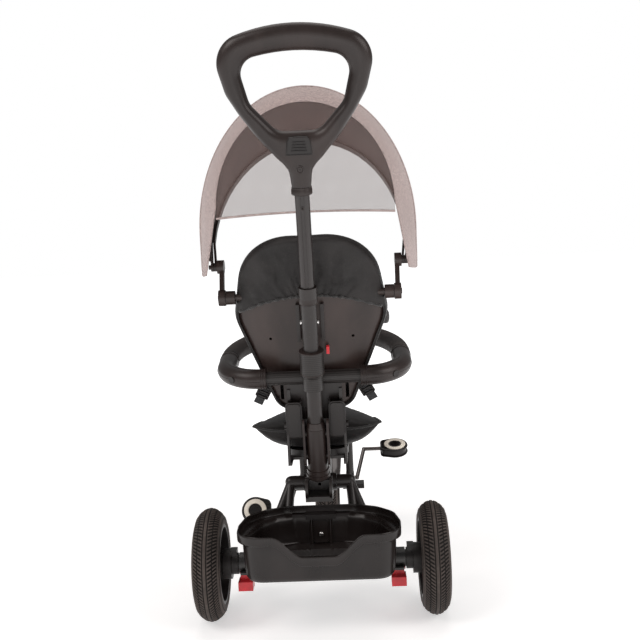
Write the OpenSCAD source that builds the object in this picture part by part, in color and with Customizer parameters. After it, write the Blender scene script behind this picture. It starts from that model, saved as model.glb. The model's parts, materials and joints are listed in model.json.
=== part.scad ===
// Children's push-along tricycle: parent's push pole, padded bucket seat, guard ring, folding sun
// canopy, storage basket and pedalled front wheel. Millimetres, +Z up, +Y is the way it travels,
// and the origin is on the floor under the middle of the whole machine.

/* [Stance] */
// Distance between the rear axle and the front hub
wheelbase = 475; // [450:5:510]
// Distance between the middles of the rear tyres
track = 398; // [390:2:430]
// Angle the steering head leans back from upright
head_lean = 17; // [14:1:20]

/* [Wheels] */
// Outer diameter of each rear tyre
rear_d = 200; // [180:5:220]
// Outer diameter of the front tyre
front_d = 250; // [220:5:260]
// Width of every tyre
tyre_w = 50; // [40:1:54]
// Diameter of the rear axle shaft
axle_d = 12; // [8:1:14]
// Width of a wheel's hub
hub_w = 38; // [32:1:40]

/* [Frame] */
// Diameter of the main tube
main_d = 38; // [30:1:42]
// Height of the main tube's low run above the floor
main_z = 224; // [218:1:240]
// Diameter of the tube around the rear axle
axle_tube_d = 30; // [24:1:34]
// Length of the tube around the rear axle
axle_tube_l = 300; // [280:5:304]
// Diameter of the rear stays
stay_d = 17; // [14:1:20]
// Diameter of the fold pin
fold_pin_d = 12; // [8:1:14]

/* [Front end] */
// Distance between the middles of the fork legs
fork_w = 104; // [96:2:120]
// Diameter of the steerer tube
steerer_d = 26; // [22:1:30]
// Height of the handlebar above the floor
bar_z = 500; // [470:5:540]
// Overall width of the handlebar
bar_w = 300; // [260:5:340]
// Radius of the pedal cranks
crank_r = 90; // [70:5:95]
// Thickness of the crank rod
crank_d = 9; // [7:0.5:12]
// Crank angle above level at the right pedal
crank_angle = 31.5; // [0:0.5:45]

/* [Push pole] */
// Angle the push pole leans back from upright
pole_lean = 16; // [12:1:20]
// Outer diameter of the lower pole tube
pole_d = 26.4; // [24:0.2:30]
// Wall of the pole tubes
pole_wall = 1.2; // [1:0.1:2]
// Distance up the pole to the top of the handle
pole_l = 847; // [780:5:900]
// How far the upper pole slides down into the lower one
pole_travel = 150; // [60:5:160]
// Overall width of the handle ring
handle_w = 238; // [200:2:260]
// Depth of the handle ring from front to back
handle_t = 30; // [22:1:34]

/* [Seat] */
// Height of the seat's hinge above the floor
hinge_z = 345; // [335:1:352]
// Widest part of the backrest shell
back_w = 258; // [230:2:264]
// Length of the backrest shell
back_l = 308; // [280:2:320]
// Width of the seat cushion
cushion_w = 232; // [200:2:240]
// Length of the seat cushion
cushion_l = 205; // [180:5:215]
// Thickness of the seat cushion
cushion_t = 60; // [40:1:64]

/* [Guard ring] */
// Width of the guard ring between its tube centres
guard_w = 316; // [300:2:330]
// Diameter of the padded part of the ring
guard_pad_d = 35; // [30:1:38]
// Diameter of the plain bar across the back
guard_bar_d = 24; // [18:1:25]

/* [Canopy] */
// Height of the rear rib above the canopy's rib hinge
rib_h = 307; // [260:1:330]
// Widest part of the rear rib
rib_w = 372; // [340:2:390]
// Height of the front rib above the rib hinge
front_rib_h = 339; // [300:1:350]
// Widest part of the front rib
front_rib_w = 346; // [320:2:360]

/* [Basket] */
// Widest part of the basket rim
basket_w = 282; // [250:2:290]
// Thickness of the basket wall
basket_wall = 2.6; // [2:0.1:4]

/* [Fits] */
// Radial clearance of a turning or sliding fit
run = 0.06; // [0.02:0.01:0.1]
// Gap between neighbours that move past each other
gap = 0.5; // [0.3:0.1:0.8]

/* [Hidden] */
$fn = 48;

// Colours
dark = [0.22, 0.19, 0.18];
black = [0.10, 0.09, 0.09];
steel = [0.55, 0.55, 0.56];
red = [0.78, 0.08, 0.10];
cream = [0.86, 0.80, 0.74];
taupe = [0.75, 0.68, 0.67];
cloth = [0.13, 0.13, 0.14];

// Radii that several pieces share
rear_r = rear_d / 2;
front_r = front_d / 2;
rim_r = rear_r - 30;
front_rim_r = front_r - 31;
axle_r = axle_d / 2;
bush_r = axle_r + 3;
hub_r = bush_r + 7;
axle_tube_r = axle_tube_d / 2;
stay_r = stay_d / 2;
main_r = main_d / 2;
pin_r = fold_pin_d / 2;
steerer_r = steerer_d / 2;
pole_r = pole_d / 2;
upper_r = pole_r - pole_wall - run;
crank_rod_r = crank_d / 2;
fork_x = fork_w / 2;

// The pole's own line: it starts at the foot and leans back
pole_foot_y = 25;
pole_foot_z = 190;
handle_half_t = handle_t / 2;
handle_edge = 1.265;
rear_y = pole_foot_y - pole_l * sin(pole_lean) - (handle_half_t - handle_edge) * cos(pole_lean);
front_y = wheelbase + front_r;
mid_y = (rear_y + front_y) / 2;

// Steering axis: through the front hub, leaning back
function head_at(s) = [0, wheelbase - s * sin(head_lean), front_r + s * cos(head_lean)];
crown_s = front_r + 42;
head_low_s = crown_s + 12;
head_l = 92;
bar_s = (bar_z - front_r) / cos(head_lean);

// Stations along the pole
socket_s = [66, 164];
lower_tube_s = [118, 425];
collar_s = 396;
sleeve_s = [262, 310];
pin_s = 362;
neck_s = 592;
upper_foot_s = 350;

// Seat hinge and backrest
hinge_y = 14;
back_gap = 40;
fold_y = 76;
fold_z = main_z;

// Guard ring plane: hinged off the pole, rising to the front
guard_s = 248;
guard_y = 27;
guard_rise = 10.5;
guard_half = guard_w / 2;
elbow_r = 66;
guard_leg = 44;
guard_pad_r = guard_pad_d / 2;
guard_bar_r = guard_bar_d / 2;
guard_core_r = 12;

// Canopy
peg_y = -12;
peg_z = 580;
rib_hinge_y = 16;
rib_hinge_z = 633;
rib_hinge_x = 158;
rear_rib_lean = -4.7;
front_rib_lean = -46.3;
rib_band = 10;
rib_thick = 4;

// Feet of the pegs on the backrest's edge
peg_x = back_w / 2 - 1;

// ---- helpers ----

module placed() {
    translate([0, -mid_y, 0]) children();
}

// Round bar between two points
module rod(a, b, r) {
    d = b - a;
    translate(a)
        rotate([0, acos(d[2] / norm(d)), atan2(d[1], d[0])])
            cylinder(r = r, h = norm(d));
}

// Cylinder along X between two x values
module barrel(x0, x1, r) {
    translate([x0, 0, 0]) rotate([0, 90, 0]) cylinder(r = r, h = x1 - x0);
}

module both_sides() {
    children();
    mirror([1, 0, 0]) children();
}

// Frame of the pole: z runs up the pole, y points forwards out of it
module on_pole(s = 0) {
    translate([0, pole_foot_y, pole_foot_z])
        rotate([pole_lean, 0, 0])
            translate([0, 0, s]) children();
}

// Frame of the steering head: z runs up the steerer
module on_head(s = 0) {
    translate([0, wheelbase, front_r])
        rotate([head_lean, 0, 0])
            translate([0, 0, s]) children();
}

// Frame of the guard ring: x across, y forwards in the ring's plane
module on_guard() {
    on_pole(guard_s)
        translate([0, guard_y, 0])
            rotate([guard_rise - pole_lean, 0, 0]) children();
}

module at_seat_hinge() {
    translate([0, hinge_y, hinge_z]) children();
}

module at_fold() {
    translate([0, fold_y, fold_z]) children();
}

module at_rib_hinge(lean) {
    translate([0, rib_hinge_y, rib_hinge_z]) rotate([lean, 0, 0]) children();
}

module rounded_box(size, r) {
    linear_extrude(size[2])
        hull()
            for (x = [-1, 1], y = [-1, 1])
                translate([x * (size[0] / 2 - r), y * (size[1] / 2 - r)]) circle(r);
}

// ---- wheels ----

// Tyre of outer radius r on a rim of radius seat, axis along X
module tyre(r, seat) {
    rotate([0, 90, 0])
        rotate_extrude()
            difference() {
                intersection() {
                    translate([r - tyre_w / 2, 0]) circle(tyre_w / 2);
                    translate([0, -tyre_w / 2]) square([r, tyre_w]);
                }
                translate([0, -tyre_w / 2 - 1]) square([seat, tyre_w + 2]);
            }
}

// Moulded rim: barrel, web with windows, and hub with a bore
module rim(seat, bore, windows) {
    band = 5;
    half = sqrt(pow(tyre_w / 2, 2) - pow(tyre_w / 2 - 30, 2)) - 1;
    web = 6;
    window_at = (seat - band + hub_r) / 2;
    window_r = min((seat - band - hub_r) / 2 - 5, window_at * sin(180 / windows) - 3);
    rotate([0, 90, 0])
        difference() {
            rotate_extrude()
                polygon([
                    [bore, -hub_w / 2], [hub_r, -hub_w / 2], [hub_r + 2, -web / 2],
                    [seat - band, -web / 2], [seat - band, -half], [seat, -half],
                    [seat, half], [seat - band, half], [seat - band, web / 2],
                    [hub_r + 2, web / 2], [hub_r, hub_w / 2], [bore, hub_w / 2]
                ]);
            for (k = [0 : windows - 1])
                rotate([0, 0, k * 360 / windows])
                    translate([window_at, 0, -web]) cylinder(r = window_r, h = 2 * web);
        }
}

module rear_wheel_place(side) {
    placed() translate([side * track / 2, 0, rear_r]) children();
}

module rear_tyre(side) {
    color(dark) rear_wheel_place(side) tyre(rear_r, rim_r);
}

module rear_rim(side) {
    color(black) rear_wheel_place(side) rim(rim_r, bush_r, 6);
}

module rear_bush(side) {
    color(cream)
        rear_wheel_place(side)
            difference() {
                barrel(-hub_w / 2, hub_w / 2, bush_r);
                barrel(-hub_w / 2 - 1, hub_w / 2 + 1, axle_r + run);
            }
}

// Domed cap over the end of the axle, clipped on the hub
module rear_cap(side) {
    color(black)
        rear_wheel_place(side)
            mirror([side < 0 ? 1 : 0, 0, 0])
                difference() {
                    union() {
                        barrel(hub_w / 2, hub_w / 2 + 2.5, hub_r + 2);
                        translate([hub_w / 2 + 2.5, 0, 0])
                            rotate([0, 90, 0])
                                cylinder(r1 = hub_r + 2, r2 = hub_r - 4, h = tyre_w / 2 - hub_w / 2 - 3);
                    }
                    barrel(hub_w / 2 - 1, hub_w / 2 + 1.5, axle_r + 1);
                }
}

module front_tyre() {
    color(dark) placed() translate([0, wheelbase, front_r]) tyre(front_r, front_rim_r);
}

module front_rim() {
    color(black) placed() translate([0, wheelbase, front_r]) rim(front_rim_r, crank_rod_r, 7);
}

// ---- frame ----

main_bend_y = wheelbase - 270;
main_bend_r = 90;
head_join_s = head_low_s + head_l / 2;

head_join = head_at(head_join_s);
main_rise = atan2(head_join[2] - main_z, head_join[1] - main_bend_y);
main_setback = main_bend_r * tan(main_rise / 2);
main_slope_l = norm([head_join[1] - main_bend_y, head_join[2] - main_z]) - main_setback;

// The sloping run's own frame: z runs up the slope from where the two straight runs would meet
module on_slope() {
    translate([0, main_bend_y, main_z]) rotate([main_rise - 90, 0, 0]) children();
}

// Main tube's outside, grown by grow: level run from the fold, a bend, then up to the head
module main_line(grow) {
    rod([0, fold_y + 26, main_z], [0, main_bend_y - main_setback + 1, main_z], main_r + grow);
    translate([0, main_bend_y - main_setback, main_z + main_bend_r])
        rotate([90, 0, 90])
            rotate([0, 0, -90])
                rotate_extrude(angle = main_rise)
                    translate([main_bend_r, 0]) circle(main_r + grow - 0.1);
    on_slope() translate([0, 0, main_setback - 1]) cylinder(r = main_r + grow, h = main_slope_l + 1);
}

// Welded main frame: main tube, steering head and the footrest's bracket
module main_frame() {
    top_z = main_z + (foot_y - main_bend_y) * tan(main_rise);
    color(dark)
        placed()
            difference() {
                union() {
                    main_line(0);
                    on_head(head_low_s) cylinder(r = steerer_r + 7, h = head_l);
                    translate([-9, foot_y - 14, foot_z]) cube([18, 28, top_z - foot_z - 10]);
                    for (side = [-1, 1])
                        translate([side * 20, foot_y, foot_z])
                            rotate([90, 0, 0]) cylinder(r = 9, h = 28, center = true);
                    translate([-20, foot_y - 14, foot_z - 9]) cube([40, 28, 18]);
                }
                on_head(head_low_s - 1) cylinder(r = steerer_r + 3, h = head_l + 2);
                for (side = [-1, 1])
                    translate([side * 20, foot_y, foot_z]) {
                        rotate([90, 0, 0]) cylinder(r = foot_pin_r + run, h = 60, center = true);
                        translate([-10, -8.5, -20]) cube([20, 17, 40]);
                    }
            }
}

bush_l = 22;

module headset_bushes() {
    color(steel)
        placed()
            for (z = [0, head_l - bush_l])
                on_head(head_low_s + z)
                    difference() {
                        cylinder(r = steerer_r + 3, h = bush_l);
                        translate([0, 0, -1]) cylinder(r = steerer_r + run, h = bush_l + 2);
                    }
}

yoke_x = 24;
yoke_wall = 5;

// Cast yoke: barrel for the fold pin, a spigot in the main tube, and two cheeks round the pole's foot
module fold_yoke() {
    cheek_front = fold_y - 12;
    color(dark)
        placed()
            difference() {
                union() {
                    at_fold() barrel(-30, 30, pin_r + 10);
                    rod([0, fold_y, main_z], [0, fold_y + 26, main_z], main_r);
                    for (side = [-1, 1])
                        translate([side * (yoke_x - yoke_wall / 2), 0, 0])
                            hull() {
                                translate([0, 2, main_z + 8]) barrel(-yoke_wall / 2, yoke_wall / 2, 20);
                                translate([0, cheek_front, main_z]) barrel(-yoke_wall / 2, yoke_wall / 2, 14);
                            }
                    translate([-yoke_x, 34, main_z - 14]) cube([2 * yoke_x, cheek_front - 34, 28]);
                    translate([-yoke_x, -12, main_z - 13]) cube([2 * yoke_x, cheek_front - 20, 9]);
                }
                at_fold() barrel(-40, 40, pin_r + run);
                translate([0, 20, main_z + 7]) rotate([90, 0, 0]) cylinder(r = 3, h = 120, center = true);
            }
}

post_y = 92;

ear_x = 49;
ear_t = 4;
plate_t = 5;
plate_front = 184;
plate_back = 48;

// Post and ears that carry the seat and its hinge
module seat_post() {
    plate_z = pan_z - plate_t;
    arm_x = ear_x - 3;
    color(dark)
        placed()
            difference() {
                union() {
                    translate([-16, post_y + 14, main_z]) cube([32, 70, plate_z - main_z]);
                    translate([-ear_x - ear_t, plate_back, plate_z])
                        cube([2 * (ear_x + ear_t), plate_front - plate_back, plate_t]);
                    both_sides() {
                        translate([arm_x, hinge_y - 10, plate_z]) cube([ear_x + ear_t - arm_x, 60, plate_t]);
                        hull() {
                            at_seat_hinge() barrel(ear_x, ear_x + ear_t, 10);
                            translate([ear_x, hinge_y - 10, plate_z]) cube([ear_t, 24, plate_t]);
                        }
                    }
                }
                at_seat_hinge() barrel(-80, 80, hinge_pin_r + run);
                main_line(0);
            }
}

hinge_pin_r = 4;
pan_z = 279;
pan_t = 12;
pan_w = 2 * (ear_x + 6);
cushion_y = 34;

module seat_pan() {
    color(black)
        placed()
            translate([0, cushion_y + cushion_l / 2, pan_z])
                rounded_box([pan_w, cushion_l - 30, pan_t], 30);
}

// Seat cushion: a soft lens with pointed side corners
module seat_cushion() {
    z0 = pan_z + pan_t + 0.3;
    color(cloth)
        placed()
            translate([0, cushion_y + cushion_l / 2, z0])
                hull() {
                    rounded_box([cushion_w - 56, cushion_l - 26, 1], 34);
                    translate([0, 0, cushion_t * 0.32])
                        rounded_box([cushion_w, cushion_l, cushion_t * 0.2], 16);
                    translate([0, 0, cushion_t - 1])
                        rounded_box([cushion_w - 80, cushion_l - 40, 1], 40);
                }
}

foot_y = wheelbase - 175;
foot_pin_r = 3;
foot_z = 158;

// Foot peg with its own pin; folds up beside the main tube
module footrest(side) {
    color(dark)
        placed()
            translate([0, foot_y, foot_z])
                mirror([side < 0 ? 1 : 0, 0, 0])
                    translate([20, 0, 0]) {
                        rotate([90, 0, 0]) cylinder(r = foot_pin_r, h = 30, center = true);
                        rotate([90, 0, 0]) cylinder(r = 8, h = 16, center = true);
                        translate([0, -8, -6]) cube([20, 16, 12]);
                        translate([18, -17, -6]) cube([44, 34, 9]);
                    }
}

// ---- rear frame, axle and basket ----

stub_x = [30 + gap, 55];

// Welded rear frame: two stubs on the fold pin, two pairs of stays and the axle tube
module rear_frame() {
    shoulder = [55, fold_y, fold_z + 2];
    color(dark)
        placed()
            difference() {
                union() {
                    both_sides() {
                        at_fold() barrel(stub_x[0], stub_x[1], 13);
                        translate(shoulder) sphere(r = stay_r + 2);
                        rod(shoulder, [66, 4, rear_r + 6], stay_r);
                        rod(shoulder, [112, 0, rear_r], stay_r - 1);
                    }
                    translate([0, 0, rear_r]) barrel(-axle_tube_l / 2, axle_tube_l / 2, axle_tube_r);
                    translate([-22, axle_tube_r - 4, rear_r - 6]) cube([44, 14, 12]);
                }
                at_fold() barrel(-54, 54, pin_r);
                translate([0, 0, rear_r]) barrel(-track, track, axle_r);
            }
}

module fold_pin() {
    color(steel) placed() at_fold() barrel(-54, 54, pin_r);
}

module axle_shaft() {
    end_x = track / 2 + hub_w / 2 + 1;
    color(steel) placed() translate([0, 0, rear_r]) barrel(-end_x, end_x, axle_r);
}

housing_x = [axle_tube_l / 2, track / 2 - hub_w / 2 - gap];

// Stepped housings that hold the brake shoes, one at each end of the axle tube
module brake_housings() {
    color(black)
        placed()
            both_sides()
                translate([0, 0, rear_r])
                    difference() {
                        union() {
                            barrel(housing_x[0], housing_x[1], axle_tube_r + 4);
                            barrel(housing_x[0] + 12, housing_x[1] - 3, axle_tube_r + 12);
                            translate([housing_x[0] + 2, -10, axle_tube_r]) cube([12, 20, 12]);
                        }
                        barrel(housing_x[0] - 1, housing_x[1] + 1, axle_r);
                    }
}

pedal_x = [122, 148];

// Parking brake pedal: a ring on the axle tube with a ribbed red tread behind it
module brake_pedal(side) {
    color(red)
        placed()
            translate([0, 0, rear_r])
                mirror([side < 0 ? 1 : 0, 0, 0])
                    difference() {
                        union() {
                            barrel(pedal_x[0], pedal_x[1], axle_tube_r + 4.5);
                            translate([pedal_x[0], -44, -36]) cube([pedal_x[1] - pedal_x[0], 30, 16]);
                            translate([pedal_x[0] + 3, -30, -30]) cube([pedal_x[1] - pedal_x[0] - 6, 22, 22]);
                        }
                        barrel(pedal_x[0] - 1, pedal_x[1] + 1, axle_tube_r + run);
                    }
}

rim_z = 186;
ledge_z = 124;
tub_z = 104;

wall_inset = 23;
lip_h = 15;
axle_back = -axle_tube_r - 3;

// Outline of the basket, wide at the middle and narrower at the front; inset takes it in
module basket_outline(inset) {
    half = basket_w / 2;
    hull()
        for (side = [-1, 1]) {
            translate([side * (half - 46), -86]) circle(45 - min(inset, 44) * 0.4);
            translate([side * (half - 33 - inset), -62]) circle(33);
            translate([side * (half - 85 - inset * 0.5), 2]) circle(30 - min(inset, 28) * 0.5);
        }
}

// Bucket of the basket with a rounded bottom edge, taken in all round by inset
module basket_tub(inset, z0, z1) {
    hull() {
        translate([0, 0, z0]) linear_extrude(0.5) basket_outline(inset + 24);
        translate([0, 0, z0 + 5]) linear_extrude(0.5) basket_outline(inset + 12);
        translate([0, 0, z0 + 16]) linear_extrude(0.5) basket_outline(inset + 6);
        translate([0, 0, z1]) linear_extrude(0.5) basket_outline(inset);
    }
}

// The bucket's outside (inset 0) or inside: a shallow part over the axle and a deep part behind it
module basket_body(inset) {
    flange_z = rim_z - lip_h;
    basket_tub(wall_inset + inset, ledge_z + inset, flange_z + inset);
    intersection() {
        basket_tub(wall_inset + inset, tub_z + inset, flange_z);
        translate([-150, -150, 0]) cube([300, 150 + axle_back - inset, 300]);
    }
}

// Moulded storage basket behind and over the axle, with a dip in its near wall
module basket() {
    color(black)
        placed()
            difference() {
                union() {
                    basket_body(0);
                    translate([0, 0, rim_z - lip_h]) linear_extrude(lip_h) basket_outline(0);
                }
                basket_body(basket_wall);
                translate([0, 0, rim_z - lip_h + basket_wall]) linear_extrude(lip_h) basket_outline(4.5);
                basket_dip();
                translate([0, 0, rear_r]) barrel(-140, 140, axle_tube_r + 1);
                basket_slot();
            }
}

// Dip in the near rim, as wide as two hands
module basket_dip() {
    dip_z = 152;
    translate([0, -100, 0])
        rotate([90, 0, 0])
            linear_extrude(80)
                polygon([
                    [-52, rim_z + 4], [-46, rim_z - 3], [-36, dip_z + 14], [-28, dip_z + 4], [-18, dip_z],
                    [18, dip_z], [28, dip_z + 4], [36, dip_z + 14], [46, rim_z - 3], [52, rim_z + 4]
                ]);
}

// Opening at the far rim that the clip and the yoke's foot stand in
module basket_slot() {
    translate([-clip_w / 2 - gap, clip_y[0] - gap, clip_z - gap]) cube([clip_w + 2 * gap, 60, 60]);
    translate([-stem_w / 2 - gap, stem_y[0] - gap, tub_z - 1])
        cube([stem_w + 2 * gap, stem_y[1] - stem_y[0] + 2 * gap, rim_z - tub_z]);
}

clip_w = 54;
clip_y = [7, 33];
clip_z = rim_z - 13;
stem_w = 28;
stem_y = [12, 22];

module basket_clip() {
    color(black)
        placed()
            difference() {
                union() {
                    translate([-clip_w / 2, clip_y[0], clip_z]) cube([clip_w, clip_y[1] - clip_y[0], 9]);
                    translate([-stem_w / 2, stem_y[0], rear_r + 16])
                        cube([stem_w, stem_y[1] - stem_y[0], clip_z - rear_r - 15]);
                }
                translate([0, 0, rear_r]) barrel(-140, 140, axle_tube_r);
            }
}

// ---- fork, handlebar and pedals ----

leg_r = 9;
crown_h = 14;

// Fork: steerer, crown and two legs down to the front hub
module fork() {
    color(dark)
        placed()
            difference() {
                union() {
                    on_head(crown_s - 8) cylinder(r = steerer_r, h = bar_s - crown_s + 8);
                    on_head(crown_s - 8) cylinder(r = steerer_r + 7, h = 12 + 8 - gap);
                    on_head(crown_s - crown_h) translate([-fork_x, 1 - leg_r, 0]) cube([fork_w, 2 * leg_r - 2, crown_h]);
                    both_sides() {
                        on_head() translate([fork_x, 0, 0]) cylinder(r = leg_r - 0.5, h = crown_s - 1);
                        translate([0, wheelbase, front_r]) barrel(fork_x - leg_r, fork_x + leg_r, 15);
                    }
                }
                translate([0, wheelbase, front_r]) barrel(-track, track, crank_rod_r + run);
            }
}

fender_gap = 9;
fender_t = 2.5;

// Mudguard over the front wheel, hung from the crown
module fender() {
    r0 = front_r + fender_gap;
    foot_s = r0 + fender_t;
    color(dark)
        placed() {
            translate([0, wheelbase, front_r])
                rotate([0, 90, 0])
                    rotate([0, 0, 128])
                        rotate_extrude(angle = 160)
                            polygon([
                                [r0 - 7, -35], [r0, -27], [r0 + 3, -12], [r0 + 3, 12], [r0, 27], [r0 - 7, 35],
                                [r0 - 7 + fender_t, 36], [r0 + fender_t, 28.5], [r0 + 3 + fender_t, 13],
                                [r0 + 3 + fender_t, -13], [r0 + fender_t, -28.5], [r0 - 7 + fender_t, -36]
                            ]);
            on_head(foot_s) cylinder(r = 7, h = crown_s - crown_h - foot_s);
        }
}

bar_r = 11;
grip_r = 15;
grip_l = 92;

module handlebar() {
    color(dark)
        placed()
            on_head(bar_s)
                difference() {
                    union() {
                        barrel(-bar_w / 2 + 3, bar_w / 2 - 3, bar_r);
                        cylinder(r = steerer_r + 5, h = 46, center = true);
                        barrel(-28, 28, bar_r + 5);
                    }
                    translate([0, 0, -60]) cylinder(r = steerer_r, h = 60);
                }
}

module handle_grips() {
    color(black)
        placed()
            on_head(bar_s)
                both_sides()
                    difference() {
                        union() {
                            barrel(bar_w / 2 - grip_l, bar_w / 2 - 4, grip_r);
                            barrel(bar_w / 2 - grip_l, bar_w / 2 - grip_l + 5, grip_r + 4);
                            translate([bar_w / 2 - 4, 0, 0])
                                rotate([0, 90, 0]) cylinder(r1 = grip_r, r2 = grip_r - 4, h = 4);
                        }
                        barrel(0, bar_w / 2 - 3, bar_r);
                    }
}

crank_x = fork_x + leg_r + 6.5;
pedal_in = 122;
pedal_out = 188;

function crank_pin(side) =
    [0, side * crank_r * cos(crank_angle), side * crank_r * sin(crank_angle)];

// One bent rod: axle through the hub, a crank arm each side and the pedal pins
module cranks() {
    color(steel)
        placed()
            translate([0, wheelbase, front_r]) {
                barrel(-crank_x, crank_x, crank_rod_r);
                for (side = [-1, 1]) {
                    elbow = [side * crank_x, 0, 0];
                    pin = crank_pin(side) + [side * (crank_x + 18), 0, 0];
                    translate(elbow) sphere(r = crank_rod_r + 0.4);
                    translate(pin) sphere(r = crank_rod_r + 0.4);
                    rod(elbow, pin, crank_rod_r);
                    rod(pin, pin + [side * (pedal_out - crank_x - 28), 0, 0], crank_rod_r);
                }
            }
}

pedal_lean_left = 62;
pedal_lean_right = 24;

module pedal_place(side) {
    placed()
        translate([0, wheelbase, front_r] + crank_pin(side))
            mirror([side < 0 ? 1 : 0, 0, 0])
                rotate([side < 0 ? pedal_lean_left : pedal_lean_right, 0, 0]) children();
}

module pedal_outline(inset) {
    hull() {
        translate([(pedal_in + pedal_out) / 2 + 3, 0]) circle(30 - inset);
        translate([pedal_in + 12, 14]) circle(10 - inset);
        translate([pedal_in + 12, -14]) circle(10 - inset);
    }
}

ring_in = 14;
ring_out = 25;

// Pedal body with a bore for the crank's pin and a seat for the ring on each face
module pedal(side) {
    mid = (pedal_in + pedal_out) / 2 + 3;
    color(black)
        pedal_place(side)
            difference() {
                translate([0, 0, -11]) linear_extrude(22) pedal_outline(0);
                for (z = [-12, 9])
                    translate([mid, 0, z])
                        difference() {
                            cylinder(r = ring_out, h = 3);
                            translate([0, 0, -1]) cylinder(r = ring_in, h = 5);
                        }
                barrel(pedal_in - 20, pedal_out - 10 + gap, crank_rod_r + run);
            }
}

module pedal_ring(side) {
    mid = (pedal_in + pedal_out) / 2 + 3;
    color(cream)
        pedal_place(side)
            for (z = [-11, 9])
                translate([mid, 0, z])
                    difference() {
                        cylinder(r = ring_out, h = 2);
                        translate([0, 0, -1]) cylinder(r = ring_in, h = 4);
                    }
}

// ---- push pole ----

// The seat hinge seen from the pole: forwards of its line, and up it
hinge_out = (hinge_y - pole_foot_y) * cos(pole_lean) + (hinge_z - pole_foot_z) * sin(pole_lean);
hinge_up = (hinge_z - pole_foot_z) * cos(pole_lean) - (hinge_y - pole_foot_y) * sin(pole_lean);
socket_r = pole_r + 4.8;
plate_x = 19;
plate_w = 4;

// Socket tube round the pole's foot, with side plates that reach forwards to the seat hinge
module pole_socket() {
    color(dark)
        placed()
            on_pole()
                difference() {
                    union() {
                        translate([0, 0, socket_s[0]]) cylinder(r = socket_r, h = socket_s[1] - socket_s[0]);
                        translate([0, 0, socket_s[1]]) cylinder(r1 = socket_r, r2 = pole_r + 1.5, h = 12);
                        both_sides() {
                            hull() {
                                translate([0, hinge_out, hinge_up]) barrel(plate_x, plate_x + plate_w, 10);
                                translate([0, -6, hinge_up + 22]) barrel(plate_x, plate_x + plate_w, 8);
                                translate([0, -6, hinge_up - 52]) barrel(plate_x, plate_x + plate_w, 8);
                            }
                            translate([0, 0, hinge_up - 44]) barrel(0, plate_x + 1, 7);
                            translate([0, 0, hinge_up]) barrel(0, plate_x + 1, 7);
                            translate([0, hinge_out, hinge_up]) barrel(plate_x, 43 - gap, 9);
                        }
                        translate([0, 0, socket_s[0] - 6]) cylinder(r = 12, h = 6);
                    }
                    translate([0, 0, lower_tube_s[0]]) cylinder(r = pole_r, h = 120);
                    translate([0, hinge_out, hinge_up]) barrel(-60, 60, hinge_pin_r);
                }
}

module seat_hinge_pin() {
    color(steel)
        placed()
            at_seat_hinge() {
                barrel(-ear_x - ear_t - 4, ear_x + ear_t + 4, hinge_pin_r);
                both_sides() barrel(ear_x + ear_t + gap, ear_x + ear_t + 4, 7.5);
            }
}

// Lower pole tube with the tapered collar that the upper tube slides through
module pole_tube() {
    color(dark)
        placed()
            on_pole()
                difference() {
                    union() {
                        translate([0, 0, lower_tube_s[0]]) cylinder(r = pole_r, h = collar_s - lower_tube_s[0]);
                        translate([0, 0, collar_s]) cylinder(r1 = pole_r, r2 = pole_r + 2.4, h = 5);
                        translate([0, 0, collar_s + 5])
                            cylinder(r = pole_r + 2.4, h = lower_tube_s[1] - collar_s - 5);
                    }
                    translate([0, 0, lower_tube_s[0] + 4]) cylinder(r = upper_r + run, h = 400);
                    translate([0, 0, pin_s]) barrel(-30, -upper_r, 3);
                    translate([0, 0, pin_s]) barrel(upper_r, 30, 3);
                }
}

// The two bright rivets that close the lower tube's guide
module pole_lock_pin() {
    color(steel)
        placed()
            on_pole(pin_s)
                both_sides() {
                    barrel(upper_r + run, pole_r + 1, 3);
                    barrel(pole_r + 0.8, pole_r + 2.6, 4.2);
                }
}

collar_z = socket_s[0] + 2;

// Sprung ring that slides up the socket to free the pole's foot from the yoke
module lock_collar() {
    color(black)
        placed()
            on_pole(collar_z)
                difference() {
                    union() {
                        cylinder(r = socket_r + 3.2, h = 6);
                        translate([0, 0, 5]) cylinder(r = socket_r + 2, h = 10);
                    }
                    translate([0, 0, -1]) cylinder(r = socket_r + run, h = 20);
                }
}

// ---- guard ring ----

rear_bar_x = 92;

// Plain bar behind the seat, with the sleeve that clamps it to the pole
module guard_bar() {
    color(dark)
        placed() {
            on_guard() barrel(-rear_bar_x - 12, rear_bar_x + 12, guard_bar_r);
            difference() {
                on_pole() {
                    translate([0, 0, sleeve_s[0] - 24]) cylinder(r = pole_r + 4, h = 26);
                    translate([0, 0, sleeve_s[0]]) cylinder(r1 = pole_r + 4, r2 = pole_r + 7.5, h = 8);
                    translate([0, 0, sleeve_s[0] + 8])
                        cylinder(r = pole_r + 7.5, h = sleeve_s[1] - sleeve_s[0] - 8);
                    translate([-13, 4, guard_s - 10]) cube([26, guard_y - 6, 20]);
                }
                on_pole() cylinder(r = pole_r, h = 600);
                on_guard() barrel(-40, 40, guard_bar_r);
            }
        }
}

// Elbow covers at the two rear corners; each has a socket for the front loop
module guard_elbows() {
    color(dark)
        placed()
            on_guard()
                both_sides()
                    difference() {
                        union() {
                            barrel(rear_bar_x - 10, rear_bar_x, guard_pad_r);
                            translate([rear_bar_x, elbow_r, 0])
                                rotate([0, 0, -90])
                                    rotate_extrude(angle = 90)
                                        translate([elbow_r, 0]) circle(guard_pad_r);
                            rod([guard_half, elbow_r, 0], [guard_half, elbow_r + guard_leg, 0], guard_pad_r);
                        }
                        barrel(rear_bar_x - 30, rear_bar_x + 12, guard_bar_r);
                        rod([guard_half, elbow_r + 2, 0], [guard_half, elbow_r + guard_leg + 1, 0],
                            guard_core_r + run);
                        guard_button_seat(run);
                    }
}

button_at = 52;
button_r = 6;
button_travel = 2.5;

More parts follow.
